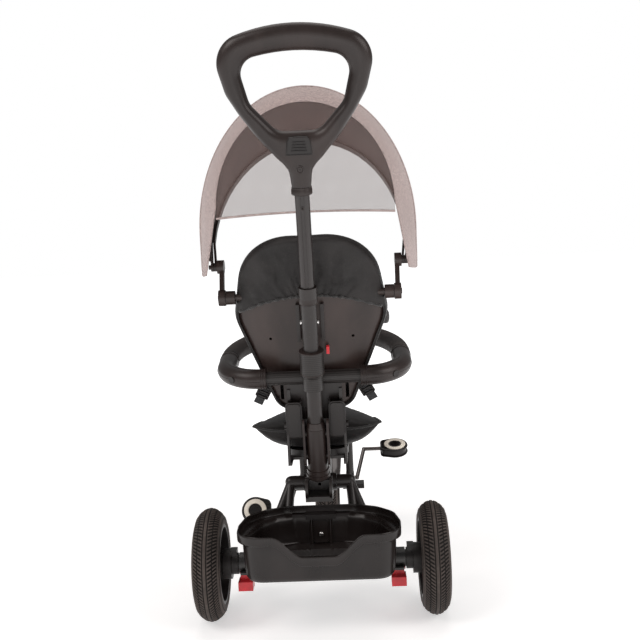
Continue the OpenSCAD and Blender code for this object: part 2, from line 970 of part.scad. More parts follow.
// Place and bore of the release button in an elbow's outer back quarter
module guard_button_seat(grow) {
    translate([rear_bar_x, elbow_r, 0])
        rotate([0, 0, -button_at])
            translate([elbow_r + 4, 0, 0]) barrel(0, guard_pad_r, button_r + grow);
}

module guard_button(side) {
    color(black)
        placed()
            on_guard()
                mirror([side < 0 ? 1 : 0, 0, 0])
                    translate([rear_bar_x, elbow_r, 0])
                        rotate([0, 0, -button_at])
                            translate([elbow_r, 0, 0])
                                barrel(4 + button_travel + gap, guard_pad_r + 1.5, button_r);
}

// Front loop: a core that slides out of both elbows, and its padded cover
module guard_loop() {
    start = elbow_r + guard_leg;
    front_arc = guard_half;
    color(dark)
        placed()
            on_guard() {
                both_sides() {
                    rod([guard_half, elbow_r + 6, 0], [guard_half, start + 1, 0], guard_core_r);
                    rod([guard_half, start + gap, 0], [guard_half, start + 6, 0], guard_pad_r);
                    translate([0, start + 6, 0])
                        rotate_extrude(angle = 90)
                            translate([front_arc, 0]) circle(guard_pad_r);
                }
            }
}

// ---- telescoping upper pole and handle ----

// Upper tube with a flat groove down its back
module upper_tube() {
    color(dark)
        placed()
            on_pole()
                difference() {
                    translate([0, 0, upper_foot_s]) cylinder(r = upper_r, h = neck_s + 38 - upper_foot_s);
                    translate([0, 0, upper_foot_s - 1]) cylinder(r = upper_r - pole_wall, h = 400);
                    translate([-2.5, -upper_r - 1, upper_foot_s + 20])
                        cube([5, 2.2, neck_s - upper_foot_s - 22]);
                }
}

handle_half = handle_w / 2;
corner_r = 46;

// Outline of the handle ring with its neck, taken in by inset
module handle_outline(inset) {
    neck_w = 16.5 - inset;
    hull() {
        for (side = [-1, 1]) {
            translate([side * (handle_half - corner_r), pole_l - 58]) circle(corner_r - inset);
            translate([side * 46, neck_s + 75]) circle(9 - inset);
        }
        translate([0, pole_l - 100]) circle(100 - inset);
    }
    polygon([
        [-51 + inset, neck_s + 68], [-30 + inset, neck_s + 46], [-neck_w, neck_s + 28], [-neck_w, neck_s],
        [neck_w, neck_s], [neck_w, neck_s + 28], [30 - inset, neck_s + 46], [51 - inset, neck_s + 68]
    ]);
}

// Outline of the hand opening, grown by inset
module handle_opening(inset) {
    hull() {
        for (side = [-1, 1]) {
            translate([side * (handle_half - 59), pole_l - 69]) circle(22 + inset);
            translate([side * 30, neck_s + 117]) circle(24 + inset);
        }
        translate([0, pole_l - 65]) circle(22 + inset);
    }
}

// Handle ring, rounded in steps towards its two faces
module push_handle() {
    steps = [[0.45, 0], [0.8, 4], [1, 9]];
    color(dark)
        placed()
            on_pole()
                difference() {
                    for (step = steps)
                        rotate([90, 0, 0])
                            linear_extrude(handle_t * step[0], center = true)
                                difference() {
                                    handle_outline(min(step[1], 2 + step[1] / 3));
                                    handle_opening(step[1]);
                                }
                    cylinder(r = upper_r, h = neck_s + 38);
                    height_button_seat();
                }
}

tab_s = [57, 86];
tab_in = 6;

module height_button_seat() {
    translate([-22, -40, neck_s + tab_s[0] - 0.5]) cube([44, 40 - tab_in, tab_s[1] - tab_s[0] + 1]);
}

// Press tab below the opening that frees the telescoping pole
module height_button() {
    tab_back = handle_half_t + 3;
    color(black)
        placed()
            on_pole(neck_s)
                translate([0, -tab_in - 3.5, 0])
                    rotate([90, 0, 0])
                        linear_extrude(tab_back - tab_in - 3.5)
                            polygon([
                                [-21, tab_s[0]], [21, tab_s[0]], [19, tab_s[1] - 6], [15, tab_s[1]],
                                [-15, tab_s[1]], [-19, tab_s[1] - 6]
                            ]);
}

// ---- backrest ----

back_s = 183;
curve_r = 230;
shell_t = 5;
pad_t = 22;
hem_r = 213;

// Outline of the backrest, grown by grow, in the pole's x and up-the-pole plane
module back_outline(grow) {
    half = back_w / 2;
    hull()
        for (side = [-1, 1]) {
            translate([side * (half - 104), back_s + back_l - 95]) circle(95 + grow);
            translate([side * (half - 40), back_s + 167]) circle(40 + grow);
            translate([side * (half - 83), back_s + 24]) circle(24 + grow);
        }
}

module back_prism(grow) {
    rotate([90, 0, 0]) linear_extrude(400, center = true) back_outline(grow);
}

// Curved wall of the backrest between two radii
module back_wall(r0, r1) {
    translate([0, back_gap + curve_r, back_s - 40])
        difference() {
            cylinder(r = r1, h = back_l + 80, $fn = 96);
            translate([0, 0, -1]) cylinder(r = r0, h = back_l + 82, $fn = 96);
        }
}

peg_out = (peg_y - pole_foot_y) * cos(pole_lean) + (peg_z - pole_foot_z) * sin(pole_lean);
peg_up = (peg_z - pole_foot_z) * cos(pole_lean) - (peg_y - pole_foot_y) * sin(pole_lean);
peg_shank_r = 6;
peg_boss_r = 12;

module peg_shanks(r) {
    translate([0, peg_out, peg_up]) both_sides() barrel(back_w / 2 - 18, back_w / 2 + 1, r);
}

// Moulded bucket shell of the backrest
module back_shell() {
    color(dark)
        placed()
            on_pole()
                difference() {
                    intersection() {
                        back_prism(0);
                        back_wall(curve_r - shell_t, curve_r);
                        translate([-200, 0, 0]) cube([400, 160, 600]);
                    }
                    peg_shanks(peg_shank_r);
                    for (side = [-1, 1]) {
                        translate([side * 72, 0, back_s + 130]) rotate([-90, 0, 0]) cylinder(r = 2.5, h = 150);
                        translate([side * 36, 0, back_s + 36]) rotate([-90, 0, 0]) cylinder(r = 2.5, h = 150);
                        translate([side * 58 - 3, 0, back_s + 14]) cube([6, 150, 30]);
                    }
                }
}

// Padded cover: thick in front of the shell, and hooded over its top behind
module back_cover() {
    color(cloth)
        placed()
            on_pole()
                difference() {
                    intersection() {
                        back_prism(6);
                        back_wall(curve_r - shell_t - pad_t, curve_r + 7);
                        translate([-200, 0, 0]) cube([400, 160, 600]);
                    }
                    intersection() {
                        back_prism(0.4);
                        back_wall(curve_r - shell_t - 0.4, curve_r + 0.4);
                    }
                    intersection() {
                        back_wall(curve_r - shell_t - 0.4, curve_r + 30);
                        union() {
                            translate([0, 200, back_s])
                                rotate([90, 0, 0]) cylinder(r = hem_r, h = 400, $fn = 96);
                            translate([-200, -20, back_s - 40]) cube([400, 200, 80]);
                        }
                    }
                    peg_shanks(peg_shank_r);
                    translate([0, peg_out, peg_up])
                        both_sides() barrel(back_w / 2, back_w / 2 + 20, peg_boss_r + gap);
                }
}

// Metal bracket that carries the shell on the seat hinge, with the recline rails
module back_bracket() {
    plate_y = back_gap - 4.5;
    color(dark)
        placed()
            on_pole()
                difference() {
                    union() {
                        translate([-48.5, plate_y, hinge_up + 10]) cube([97, 4, guard_s - 16 - hinge_up - 10]);
                        both_sides() {
                            hull() {
                                translate([0, hinge_out, hinge_up]) barrel(43, 48.5, 10);
                                translate([43, plate_y - 3, hinge_up + 30]) cube([5.5, 7, 40]);
                            }
                            translate([18, back_gap - 10, sleeve_s[1] + 4]) cube([6, 9.6, 68]);
                        }
                    }
                    translate([0, hinge_out, hinge_up]) barrel(-60, 60, hinge_pin_r + run);
                }
}

lever_x = 25;

// Red recline release beside the right-hand rail
module recline_lever() {
    color(red)
        placed()
            on_pole()
                translate([lever_x, back_gap - 11, sleeve_s[1] - 20]) cube([5, 9, 13]);
}

module canopy_pegs() {
    color(black)
        placed()
            on_pole() {
                peg_shanks(peg_shank_r);
                translate([0, peg_out, peg_up])
                    both_sides() {
                        barrel(back_w / 2 + 1, back_w / 2 + 17, peg_boss_r);
                        barrel(back_w / 2 + 16, back_w / 2 + 31, 5);
                    }
            }
}

strap_w = 26;
strap_t = 2.5;

// Shoulder and crotch straps lying on the padding, and the lap adjusters at its lower corners
module harness() {
    strap_face_r = curve_r - shell_t - pad_t - gap;
    face = back_gap + shell_t + pad_t + gap;
    color(black)
        placed()
            on_pole() {
                for (side = [-1, 1]) {
                    intersection() {
                        back_wall(strap_face_r - strap_t, strap_face_r);
                        translate([side * 38 - strap_w / 2, 0, back_s + 60]) cube([strap_w, 150, 190]);
                    }
                    translate([side * 98 - 9, back_gap + 14, back_s + 8]) cube([18, 10, 34]);
                }
                translate([-26, face + strap_t + 2, back_s + 60]) cube([52, 12, 44]);
            }
}

// ---- canopy ----

arch_steps = 26;
arm_x = back_w / 2 + 17.5;

// Points of an arch in its own plane, right foot to left foot: two legs and half an ellipse
function arch(half, top, mid, foot_x, foot_z) = concat(
    [[foot_x, foot_z], [(foot_x + half) / 2, (foot_z + mid) / 2]],
    [for (k = [0 : arch_steps]) [half * cos(k * 180 / arch_steps), mid + (top - mid) * sin(k * 180 / arch_steps)]],
    [[-(foot_x + half) / 2, (foot_z + mid) / 2], [-foot_x, foot_z]]
);

function turned(p, lean) = [
    p[0],
    rib_hinge_y - p[1] * sin(lean),
    rib_hinge_z + p[1] * cos(lean)
];

function flip(list) = [for (k = [len(list) - 1 : -1 : 0]) list[k]];

rib_mid = 62;
rib_foot_x = rib_hinge_x + 12;

module rib_band(half, top, foot_x) {
    rotate([90, 0, 0])
        linear_extrude(rib_band, center = true)
            polygon(concat(
                arch(half, top, rib_mid, foot_x, 6),
                flip(arch(half - rib_thick, top - rib_thick, rib_mid, foot_x - rib_thick, 6))
            ));
}

knuckle_x = [rib_hinge_x - 8, rib_hinge_x + 4];

// Arms from the pegs up to the rib hinges, with a short pin for the ribs
module canopy_arms() {
    color(black)
        placed()
            both_sides()
                difference() {
                    union() {
                        translate([0, peg_y, peg_z]) barrel(arm_x, arm_x + 12, 14);
                        hull() {
                            translate([0, peg_y, peg_z]) barrel(arm_x + 2, arm_x + 10, 7);
                            translate([0, rib_hinge_y - 2, rib_hinge_z - 6]) barrel(knuckle_x[0], knuckle_x[0] + 8, 6);
                        }
                        translate([0, rib_hinge_y, rib_hinge_z]) {
                            barrel(knuckle_x[0], knuckle_x[1], 12);
                            barrel(knuckle_x[1] - 1, knuckle_x[1] + 15, 4);
                        }
                    }
                    translate([0, peg_y, peg_z]) barrel(arm_x - 5, arm_x + 14.5, 5 + run);
                }
}

front_disc_x = knuckle_x[1] + gap / 2;
rear_disc_x = front_disc_x + 5 + gap;

module rib(half, top, lean, disc_x, bore) {
    foot = disc_x + 4.5;
    placed()
        at_rib_hinge(lean)
            difference() {
                union() {
                    rib_band(half, top, foot);
                    both_sides() barrel(disc_x, disc_x + 5, 7.6);
                }
                both_sides() barrel(disc_x - 1, disc_x + 6, bore);
            }
}

module rear_rib() {
    color(dark) rib(rib_w / 2, rib_h, rear_rib_lean, rear_disc_x, 4);
}

module front_rib() {
    color(dark) rib(front_rib_w / 2, front_rib_h, front_rib_lean, front_disc_x, 4 + run);
}

// Closed sheet between an outer and an inner grid of points, each a list of rows
module sheet(outer, inner) {
    rows = len(outer);
    cols = len(outer[0]);
    count = rows * cols;
    at = function (r, c) r * cols + c;
    quads = [for (r = [0 : rows - 2], c = [0 : cols - 2]) [at(r, c), at(r, c + 1), at(r + 1, c + 1), at(r + 1, c)]];
    ring = concat(
        [for (c = [0 : cols - 2]) [at(0, c + 1), at(0, c)]],
        [for (r = [0 : rows - 2]) [at(r, 0), at(r + 1, 0)]],
        [for (c = [0 : cols - 2]) [at(rows - 1, c), at(rows - 1, c + 1)]],
        [for (r = [0 : rows - 2]) [at(r + 1, cols - 1), at(r, cols - 1)]]
    );
    polyhedron(
        points = concat([for (row = outer) each row], [for (row = inner) each row]),
        faces = concat(
            [for (q = quads) [q[0], q[1], q[2]]],
            [for (q = quads) [q[0], q[2], q[3]]],
            [for (q = quads) [q[2] + count, q[1] + count, q[0] + count]],
            [for (q = quads) [q[3] + count, q[2] + count, q[0] + count]],
            [for (e = ring) [e[1], e[1] + count, e[0] + count]],
            [for (e = ring) [e[0], e[1], e[0] + count]]
        )
    );
}

cloth_t = 2.4;
roof_rows = 8;

function mix(a, b, t) = a + (b - a) * t;

// Row of the roof at t between the rear and the front rib, a distance out from the ribs
function roof_row(t, out) = [
    for (p = arch(
        mix(rib_w, front_rib_w, t) / 2 + out,
        mix(rib_h, front_rib_h, t) + out - 10 * sin(180 * t),
        rib_mid,
        mix(rib_w / 2 - 4, front_rib_w / 2 + 2, t) + out,
        14
    )) turned(p, mix(rear_rib_lean, front_rib_lean, t))
];

// Fabric roof stretched over the two ribs
module canopy_roof() {
    ease = 1.6;
    color(taupe)
        placed()
            sheet(
                [for (k = [0 : roof_rows]) roof_row(mix(0.03, 1.01, k / roof_rows), ease + cloth_t)],
                [for (k = [0 : roof_rows]) roof_row(mix(0.03, 1.01, k / roof_rows), ease)]
            );
}

mesh_half = 152;
mesh_top = 912;
mesh_low = 716;
mesh_mid = 738;
mesh_y = [4, -42];
mesh_lean = atan2(mesh_y[0] - mesh_y[1], mesh_top - mesh_low);

// Plane of the rear window: z up it from the hem
module on_window() {
    translate([0, mesh_y[1], mesh_low]) rotate([-mesh_lean, 0, 0]) children();
}

window_h = (mesh_top - mesh_low) / cos(mesh_lean);
window_mid = (mesh_mid - mesh_low) / cos(mesh_lean);

// See-through window panel with its hem
module canopy_mesh() {
    color([0.5, 0.45, 0.44, 0.6])
        placed()
            on_window()
                rotate([90, 0, 0])
                    linear_extrude(1.6, center = true)
                        polygon(concat(
                            arch(mesh_half - 1, window_h - 1, window_mid, mesh_half - 8, 4),
                            [for (k = [-4 : 4]) [k * 32, 7 - pow(k, 2) * 0.35]]
                        ));
}

// Fabric band from the rear rib back to the window, and down to a tip at each side
module canopy_back() {
    rib_line = function (out) [
        for (p = arch(rib_w / 2 + out, rib_h + out, rib_mid, rib_w / 2 + out - 1, -14)) turned(p, rear_rib_lean)
    ];
    window_line = function (out) [
        for (p = arch(mesh_half + out, window_h + out, window_mid, rib_w / 2 - 16 + out, -96))
            [p[0], mesh_y[1] + p[1] * sin(mesh_lean), mesh_low + p[1] * cos(mesh_lean)]
    ];
    rows = function (a, b) [for (k = [0 : 3]) [for (c = [0 : len(a) - 1]) mix(a[c], b[c], k / 3)]];
    color(taupe)
        placed()
            sheet(
                rows([for (p = window_line(2)) p - [0, cloth_t, 0]], [for (p = rib_line(1.4 + cloth_t)) p - [0, 6, 0]]),
                rows(window_line(0.6), [for (p = rib_line(1.4)) p - [0, 6, 0]])
            );
}

main_frame();
headset_bushes();
seat_post();
seat_pan();
seat_cushion();
fold_yoke();
rear_frame();
fold_pin();
axle_shaft();
brake_housings();
basket();
basket_clip();
rear_tyre(-1);  // rear_tyre_left
rear_rim(-1);  // rear_rim_left
rear_bush(-1);  // rear_bush_left
rear_cap(-1);  // rear_cap_left
rear_tyre(1);  // rear_tyre_right
rear_rim(1);  // rear_rim_right
rear_bush(1);  // rear_bush_right
rear_cap(1);  // rear_cap_right
brake_pedal(-1);  // brake_pedal_left
brake_pedal(1);  // brake_pedal_right
fork();
fender();
handlebar();
handle_grips();
front_tyre();
front_rim();
cranks();
pedal(-1);  // pedal_left
pedal_ring(-1);  // pedal_ring_left
pedal(1);  // pedal_right
pedal_ring(1);  // pedal_ring_right
footrest(-1);  // footrest_left
footrest(1);  // footrest_right
back_shell();
back_cover();
back_bracket();
harness();
canopy_pegs();
recline_lever();
pole_socket();
pole_tube();
pole_lock_pin();
lock_collar();
seat_hinge_pin();
guard_bar();
guard_elbows();
guard_loop();
guard_button(-1);  // guard_button_left
guard_button(1);  // guard_button_right
upper_tube();
push_handle();
height_button();
canopy_arms();
rear_rib();
canopy_mesh();
canopy_back();
front_rib();
canopy_roof();
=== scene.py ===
"""Children's push-along tricycle: the looks of its pieces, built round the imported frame."""

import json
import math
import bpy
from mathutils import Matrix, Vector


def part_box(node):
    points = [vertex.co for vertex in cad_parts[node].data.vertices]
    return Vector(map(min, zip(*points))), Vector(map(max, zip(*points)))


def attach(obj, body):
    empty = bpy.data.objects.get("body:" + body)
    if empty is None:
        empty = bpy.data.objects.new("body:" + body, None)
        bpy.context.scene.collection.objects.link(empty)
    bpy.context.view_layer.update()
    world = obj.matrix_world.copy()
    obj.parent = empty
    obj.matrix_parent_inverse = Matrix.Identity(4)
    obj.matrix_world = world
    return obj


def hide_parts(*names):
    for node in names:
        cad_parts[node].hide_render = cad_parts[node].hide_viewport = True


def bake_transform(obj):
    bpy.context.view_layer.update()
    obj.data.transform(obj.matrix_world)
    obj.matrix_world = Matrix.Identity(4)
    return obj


bl_info = {
    "name": "Children's tricycle",
    "version": (1, 0, 0),
    "blender": (4, 5, 0),
    "location": "View3D > Sidebar > Tricycle",
    "description": "Builds a push-along tricycle's mouldings, padding and canopy on its frame",
    "category": "Object",
}

import bmesh
import bpy
from mathutils import Matrix, Vector, noise

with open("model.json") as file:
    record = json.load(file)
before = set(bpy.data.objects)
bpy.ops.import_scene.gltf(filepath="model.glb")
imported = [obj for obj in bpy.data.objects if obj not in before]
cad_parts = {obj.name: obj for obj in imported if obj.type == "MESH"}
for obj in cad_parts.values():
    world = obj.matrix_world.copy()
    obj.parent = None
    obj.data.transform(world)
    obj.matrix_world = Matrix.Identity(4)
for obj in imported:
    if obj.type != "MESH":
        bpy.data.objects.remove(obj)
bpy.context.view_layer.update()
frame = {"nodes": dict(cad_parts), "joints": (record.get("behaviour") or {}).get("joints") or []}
NODES = frame["nodes"]
MM = 0.001


# ---- places taken from the frame ----

def middle(node):
    """Middle of a node of the frame."""
    low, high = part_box(node)
    return (low + high) / 2


REAR_AXLE = middle("axle_shaft")
FRONT_HUB = middle("front_tyre")
REAR_R = (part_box("rear_tyre_left")[1].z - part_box("rear_tyre_left")[0].z) / 2
FRONT_R = (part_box("front_tyre")[1].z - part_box("front_tyre")[0].z) / 2
TYRE_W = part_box("front_tyre")[1].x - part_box("front_tyre")[0].x
POLE_LEAN = math.radians(16)
GUARD_RISE = math.radians(10.5)
POLE_UP = Vector((0, -math.sin(POLE_LEAN), math.cos(POLE_LEAN)))
POLE_OUT = Vector((0, math.cos(POLE_LEAN), math.sin(POLE_LEAN)))
POLE_FOOT = Vector((0, REAR_AXLE.y + 0.025, 0.190))
GUARD_OUT = Vector((0, math.cos(GUARD_RISE), math.sin(GUARD_RISE)))
GUARD_UP = Vector((0, -math.sin(GUARD_RISE), math.cos(GUARD_RISE)))


def lay(x, y, z):
    """Point from millimetres: x across, y forwards of the rear axle, z above the floor."""
    return Vector((x * MM, REAR_AXLE.y + y * MM, z * MM))


def pole(x, out, up):
    """Point from millimetres in the pole's frame: across, forwards out of it, and up it."""
    return POLE_FOOT + Vector((x * MM, 0, 0)) + POLE_OUT * (out * MM) + POLE_UP * (up * MM)


GUARD_HUB = pole(0, 27, 248)


def ring(x, out, up):
    """Point from millimetres in the guard ring's frame: across, forwards, and above it."""
    return GUARD_HUB + Vector((x * MM, 0, 0)) + GUARD_OUT * (out * MM) + GUARD_UP * (up * MM)


# ---- numbers ----

def mix(a, b, t):
    """Value a part t of the way from a to b."""
    return a + (b - a) * t


def clamp(value, low=0.0, high=1.0):
    """Value kept between low and high."""
    return max(low, min(high, value))


def smooth(value, low, high):
    """0 below low, 1 above high, and an even curve between."""
    t = clamp((value - low) / (high - low))
    return t * t * (3 - 2 * t)


def ridge(value, centre, half):
    """1 on centre, falling evenly to 0 at half away from it."""
    return 1 - smooth(abs(value - centre), 0, half)


def mirrored(*circles):
    """Circles as (x, y, r), on both sides of the middle."""
    return [(side * x, y, r) for side in (-1, 1) for x, y, r in circles]


def hull_of(circles, step=64):
    """Convex outline round circles given as (x, y, r), anticlockwise."""
    points = sorted(
        {
            (round(x + r * math.cos(a), 4), round(y + r * math.sin(a), 4))
            for x, y, r in circles
            for a in (2 * math.pi * k / step for k in range(step))
        }
    )

    def half(sequence):
        """One side of the hull, from sorted points."""
        chain = []
        for p in sequence:
            while len(chain) > 1:
                (ax, ay), (bx, by) = chain[-2:]
                if (bx - ax) * (p[1] - ay) - (by - ay) * (p[0] - ax) > 0:
                    break
                chain.pop()
            chain.append(p)
        return chain

    return half(points)[:-1] + half(reversed(points))[:-1]


def ray_reach(outline, centre, angle):
    """Distance from centre to the farthest edge of a closed outline along a direction."""
    dx, dy = math.cos(angle), math.sin(angle)
    best = 0.0
    for k, (ax, ay) in enumerate(outline):
        bx, by = outline[(k + 1) % len(outline)]
        ex, ey = bx - ax, by - ay
        det = ex * dy - ey * dx
        if abs(det) < 1e-9:
            continue
        px, py = ax - centre[0], ay - centre[1]
        along = (ex * py - ey * px) / det
        part = (dx * py - dy * px) / det
        if along > best and -1e-6 <= part <= 1 + 1e-6:
            best = along
    return best


def edge_distance(point, outline, skip=None):
    """Distance from a point to the nearest edge of a closed outline; skip leaves edges out."""
    best = 1e9
    for k, (ax, ay) in enumerate(outline):
        bx, by = outline[(k + 1) % len(outline)]
        if skip and skip((ax, ay), (bx, by)):
            continue
        ex, ey = bx - ax, by - ay
        length = ex * ex + ey * ey
        t = clamp(((point[0] - ax) * ex + (point[1] - ay) * ey) / length) if length else 0
        best = min(best, math.hypot(point[0] - ax - ex * t, point[1] - ay - ey * t))
    return best


# ---- meshes ----

def piece(name, points, faces, body, material, node=None, smooth_angle=40):
    """Mesh object that rides on a body and stands for a node, where they are given."""
    mesh = bpy.data.meshes.new(name)
    mesh.from_pydata([tuple(p) for p in points], [], faces)
    mesh.validate()
    work = bmesh.new()
    work.from_mesh(mesh)
    bmesh.ops.remove_doubles(work, verts=work.verts, dist=1e-6)
    bmesh.ops.recalc_face_normals(work, faces=work.faces)
    work.to_mesh(mesh)
    work.free()
    for face in mesh.polygons:
        face.use_smooth = True
    mesh.set_sharp_from_angle(angle=math.radians(smooth_angle))
    obj = bpy.data.objects.new(name, mesh)
    bpy.context.scene.collection.objects.link(obj)
    mesh.materials.append(material)
    if body:
        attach(obj, body)
    if node:
        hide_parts(node)
    return obj


def grid(rows, around=False, ends=False, loop=False):
    """Points and quads of rows; around closes rows, loop joins last to first, ends caps them."""
    count = len(rows[0])
    points = [p for row in rows for p in row]
    faces = []
    last = len(rows) if loop else len(rows) - 1
    wide = count if around else count - 1
    for r in range(last):
        for c in range(wide):
            a, b = r * count + c, r * count + (c + 1) % count
            q = (r + 1) % len(rows) * count
            faces.append((a, b, q + (c + 1) % count, q + c))
    if ends:
        faces.append(tuple(range(count))[::-1])
        faces.append(tuple((len(rows) - 1) * count + c for c in range(count)))
    return points, faces


def join(*parts):
    """One list of points and one of faces from several."""
    points, faces = [], []
    for part_points, part_faces in parts:
        faces += [tuple(v + len(points) for v in f) for f in part_faces]
        points += part_points
    return points, faces


def apply_modifiers(obj):
    """Makes an object's modifiers part of its mesh."""
    graph = bpy.context.evaluated_depsgraph_get()
    mesh = bpy.data.meshes.new_from_object(obj.evaluated_get(graph))
    old = obj.data
    obj.modifiers.clear()
    obj.data = mesh
    bpy.data.meshes.remove(old)
    return obj


def thicken(obj, thickness, offset=-1.0):
    """Gives a skin an even wall: offset -1 grows it inwards, 1 outwards."""
    mod = obj.modifiers.new("wall", "SOLIDIFY")
    mod.thickness = thickness
    mod.offset = offset
    mod.use_even_offset = True
    return apply_modifiers(obj)


def frames_along(path, closed=False, hint=Vector((0, 0, 1))):
    """Position, side and up vectors at each point of a path, turning evenly along it."""
    count = len(path)
    out = []
    for k, p in enumerate(path):
        before = path[(k - 1) % count] if closed or k else p
        after = path[(k + 1) % count] if closed or k < count - 1 else p
        along = (after - before).normalized()
        side = along.cross(hint)
        side = side.normalized() if side.length > 1e-6 else along.orthogonal().normalized()
        out.append((p, side, side.cross(along).normalized()))
    return out


def tube(path, radius, sides=24, closed=False, hint=Vector((0, 0, 1))):
    """Swept round tube: radius in metres, a number or a function of (part of the way, angle)."""
    rows = []
    spots = frames_along(path, closed, hint)
    for k, (p, side, up) in enumerate(spots):
        t = k / (len(path) - 1)
        row = []
        for s in range(sides):
            a = 2 * math.pi * s / sides
            r = radius(t, a) if callable(radius) else radius
            row.append(p + side * (r * math.cos(a)) + up * (r * math.sin(a)))
        rows.append(row)
    return grid(rows, around=True, ends=not closed, loop=closed)


def turned_solid(centre, axis, profile, sides=48):
    """Solid of revolution from (along, radius) pairs in millimetres, on an axis through centre."""
    axis = axis.normalized()
    side = axis.orthogonal().normalized()
    up = axis.cross(side)
    rows = []
    for along, r in profile:
        base = centre + axis * (along * MM)
        rows.append(
            [
                base + (side * math.cos(a) + up * math.sin(a)) * (max(r, 0.02) * MM)
                for a in (2 * math.pi * k / sides for k in range(sides))
            ]
        )
    return grid(rows, around=True, ends=True)


def plate(outline, place, low, high, round_by=0.0, steps=3):
    """Prism on an outline, between two heights, with rounded edges; place makes its points."""
    cx = sum(p[0] for p in outline) / len(outline)
    cy = sum(p[1] for p in outline) / len(outline)

    def shrunk(by):
        """Outline drawn in towards its middle."""
        row = []
        for x, y in outline:
            d = math.hypot(x - cx, y - cy) or 1
            row.append((x - (x - cx) / d * by, y - (y - cy) / d * by))
        return row

    turns = [math.pi / 2 * k / steps for k in range(steps + 1)]
    levels = [(a, low + round_by * (1 - math.sin(a))) for a in turns]
    levels += [(a, high - round_by * (1 - math.sin(a))) for a in reversed(turns)]
    rows = []
    for a, level in levels:
        rows.append([place(x, y, level) for x, y in shrunk(round_by * (1 - math.cos(a)))])
    return grid(rows, around=True, ends=True)


def slab(size, radius, steps=4):
    """Outline of a rectangle with rounded corners, in millimetres, about its middle."""
    half_x, half_y = size[0] / 2 - radius, size[1] / 2 - radius
    outline = []
    for x, y, start in ((1, 1, 0), (-1, 1, 90), (-1, -1, 180), (1, -1, 270)):
        for k in range(steps + 1):
            a = math.radians(start + 90 * k / steps)
            outline.append((x * half_x + radius * math.cos(a), y * half_y + radius * math.sin(a)))
    return outline


# ---- finishes ----

class Socket:
    """A shader output that takes part in Python expressions; each operator adds its Math node."""

    def __init__(self, shop, socket):
        self.shop = shop
        self.socket = socket

    def _math(self, operation, *values):
        """Socket of a new Math node."""
        return self.shop.add(
            "ShaderNodeMath", {"operation": operation}, dict(enumerate(values))
        )

    def __add__(self, other):
        return self._math("ADD", self, other)

    __radd__ = __add__

    def __sub__(self, other):
        return self._math("SUBTRACT", self, other)

    def __rsub__(self, other):
        return self._math("SUBTRACT", other, self)

    def __mul__(self, other):
        return self._math("MULTIPLY", self, other)

    __rmul__ = __mul__

    def __truediv__(self, other):
        return self._math("DIVIDE", self, other)

    def __abs__(self):
        return self._math("ABSOLUTE", self)

    def sine(self):
        """Sine of the value, in radians."""
        return self._math("SINE", self)

    def root(self):
        """Square root of the value."""
        return self._math("SQRT", self)

    def above(self, low, high):
        """0 below low, 1 above high."""
        return self.shop.add(
            "ShaderNodeMapRange",
            {"interpolation_type": "SMOOTHSTEP"},
            {"Value": self, "From Min": low, "From Max": high},
        )


class Finish:
    """A procedural material under construction."""

    def __init__(self, name):
        self.material = bpy.data.materials.new(name)
        self.material.use_nodes = True
        self.tree = self.material.node_tree
        self.tree.nodes.clear()
        self._place = None

    def add(self, kind, settings=None, inputs=None, output=0):
        """Adds a node: its settings are made first, then the values or links of its sockets."""
        node = self.tree.nodes.new(kind)
        for key, value in (settings or {}).items():
            setattr(node, key, value)
        for key, value in (inputs or {}).items():
            if isinstance(value, Socket):
                self.tree.links.new(value.socket, node.inputs[key])
            else:
                node.inputs[key].default_value = value
        return Socket(self, node.outputs[output])

    def place(self):
        """Coordinates in metres in the piece's own frame."""
        if self._place is None:
            self._place = self.add("ShaderNodeTexCoord", output="Object")
        return self._place

    def axes(self):
        """The three coordinates of a place, apart."""
        split = self.add("ShaderNodeSeparateXYZ", inputs={"Vector": self.place()})
        outs = split.socket.node.outputs
        return [Socket(self, outs[k]) for k in range(3)]

    def grain(self, scale, detail=2.0, stretch=None, roughness=0.5):
        """Noise at so many bumps a metre, 0 to 1."""
        vector = self.place()
        if stretch:
            vector = self.add("ShaderNodeMapping", inputs={"Vector": vector, "Scale": stretch})
        return self.add(
            "ShaderNodeTexNoise",
            inputs={"Vector": vector, "Scale": scale, "Detail": detail, "Roughness": roughness},
        )

    def blend(self, a, b, factor):
        """Colour between a and b."""
        sides = {}
        for key, value in ((6, a), (7, b)):
            sides[key] = value if isinstance(value, Socket) else (*value, 1)
        return self.add("ShaderNodeMix", {"data_type": "RGBA"}, {0: factor, **sides}, output=2)

    def bump(self, height, distance, strength=1.0, below=None):
        """Normal of a height so many metres deep, over the one below it."""
        inputs = {"Height": height, "Distance": distance, "Strength": strength}
        if below is not None:
            inputs["Normal"] = below
        return self.add("ShaderNodeBump", inputs=inputs)

    def done(self, colour, roughness, normal=None, **constants):
        """Ends the material with a Principled shader; constants are set on its own sockets."""
        inputs = {
            "Base Color": colour if isinstance(colour, Socket) else (*colour, 1),
            "Roughness": roughness,
        }
        if normal is not None:
            inputs["Normal"] = normal
        for key, value in constants.items():
            inputs[key.replace("_", " ")] = value
        shader = self.add("ShaderNodeBsdfPrincipled", inputs=inputs)
        end = self.tree.nodes.new("ShaderNodeOutputMaterial")
        self.tree.links.new(shader.socket, end.inputs["Surface"])
        return self.material


# ---- sizes and colours a user would change ----

def shade(name, text, default):
    """A colour that a user can change."""
    return bpy.props.FloatVectorProperty(
        name=name, description=text, subtype="COLOR", size=3, min=0, max=1, default=default
    )


def length(name, text, default, low, high):
    """A length in metres that a user can change."""
    return bpy.props.FloatProperty(
        name=name, description=text, subtype="DISTANCE", unit="LENGTH",
        default=default, min=low, max=high,
    )


def number(name, text, default, low, high):
    """A whole number that a user can change."""
    return bpy.props.IntProperty(
        name=name, description=text, default=default, min=low, max=high
    )


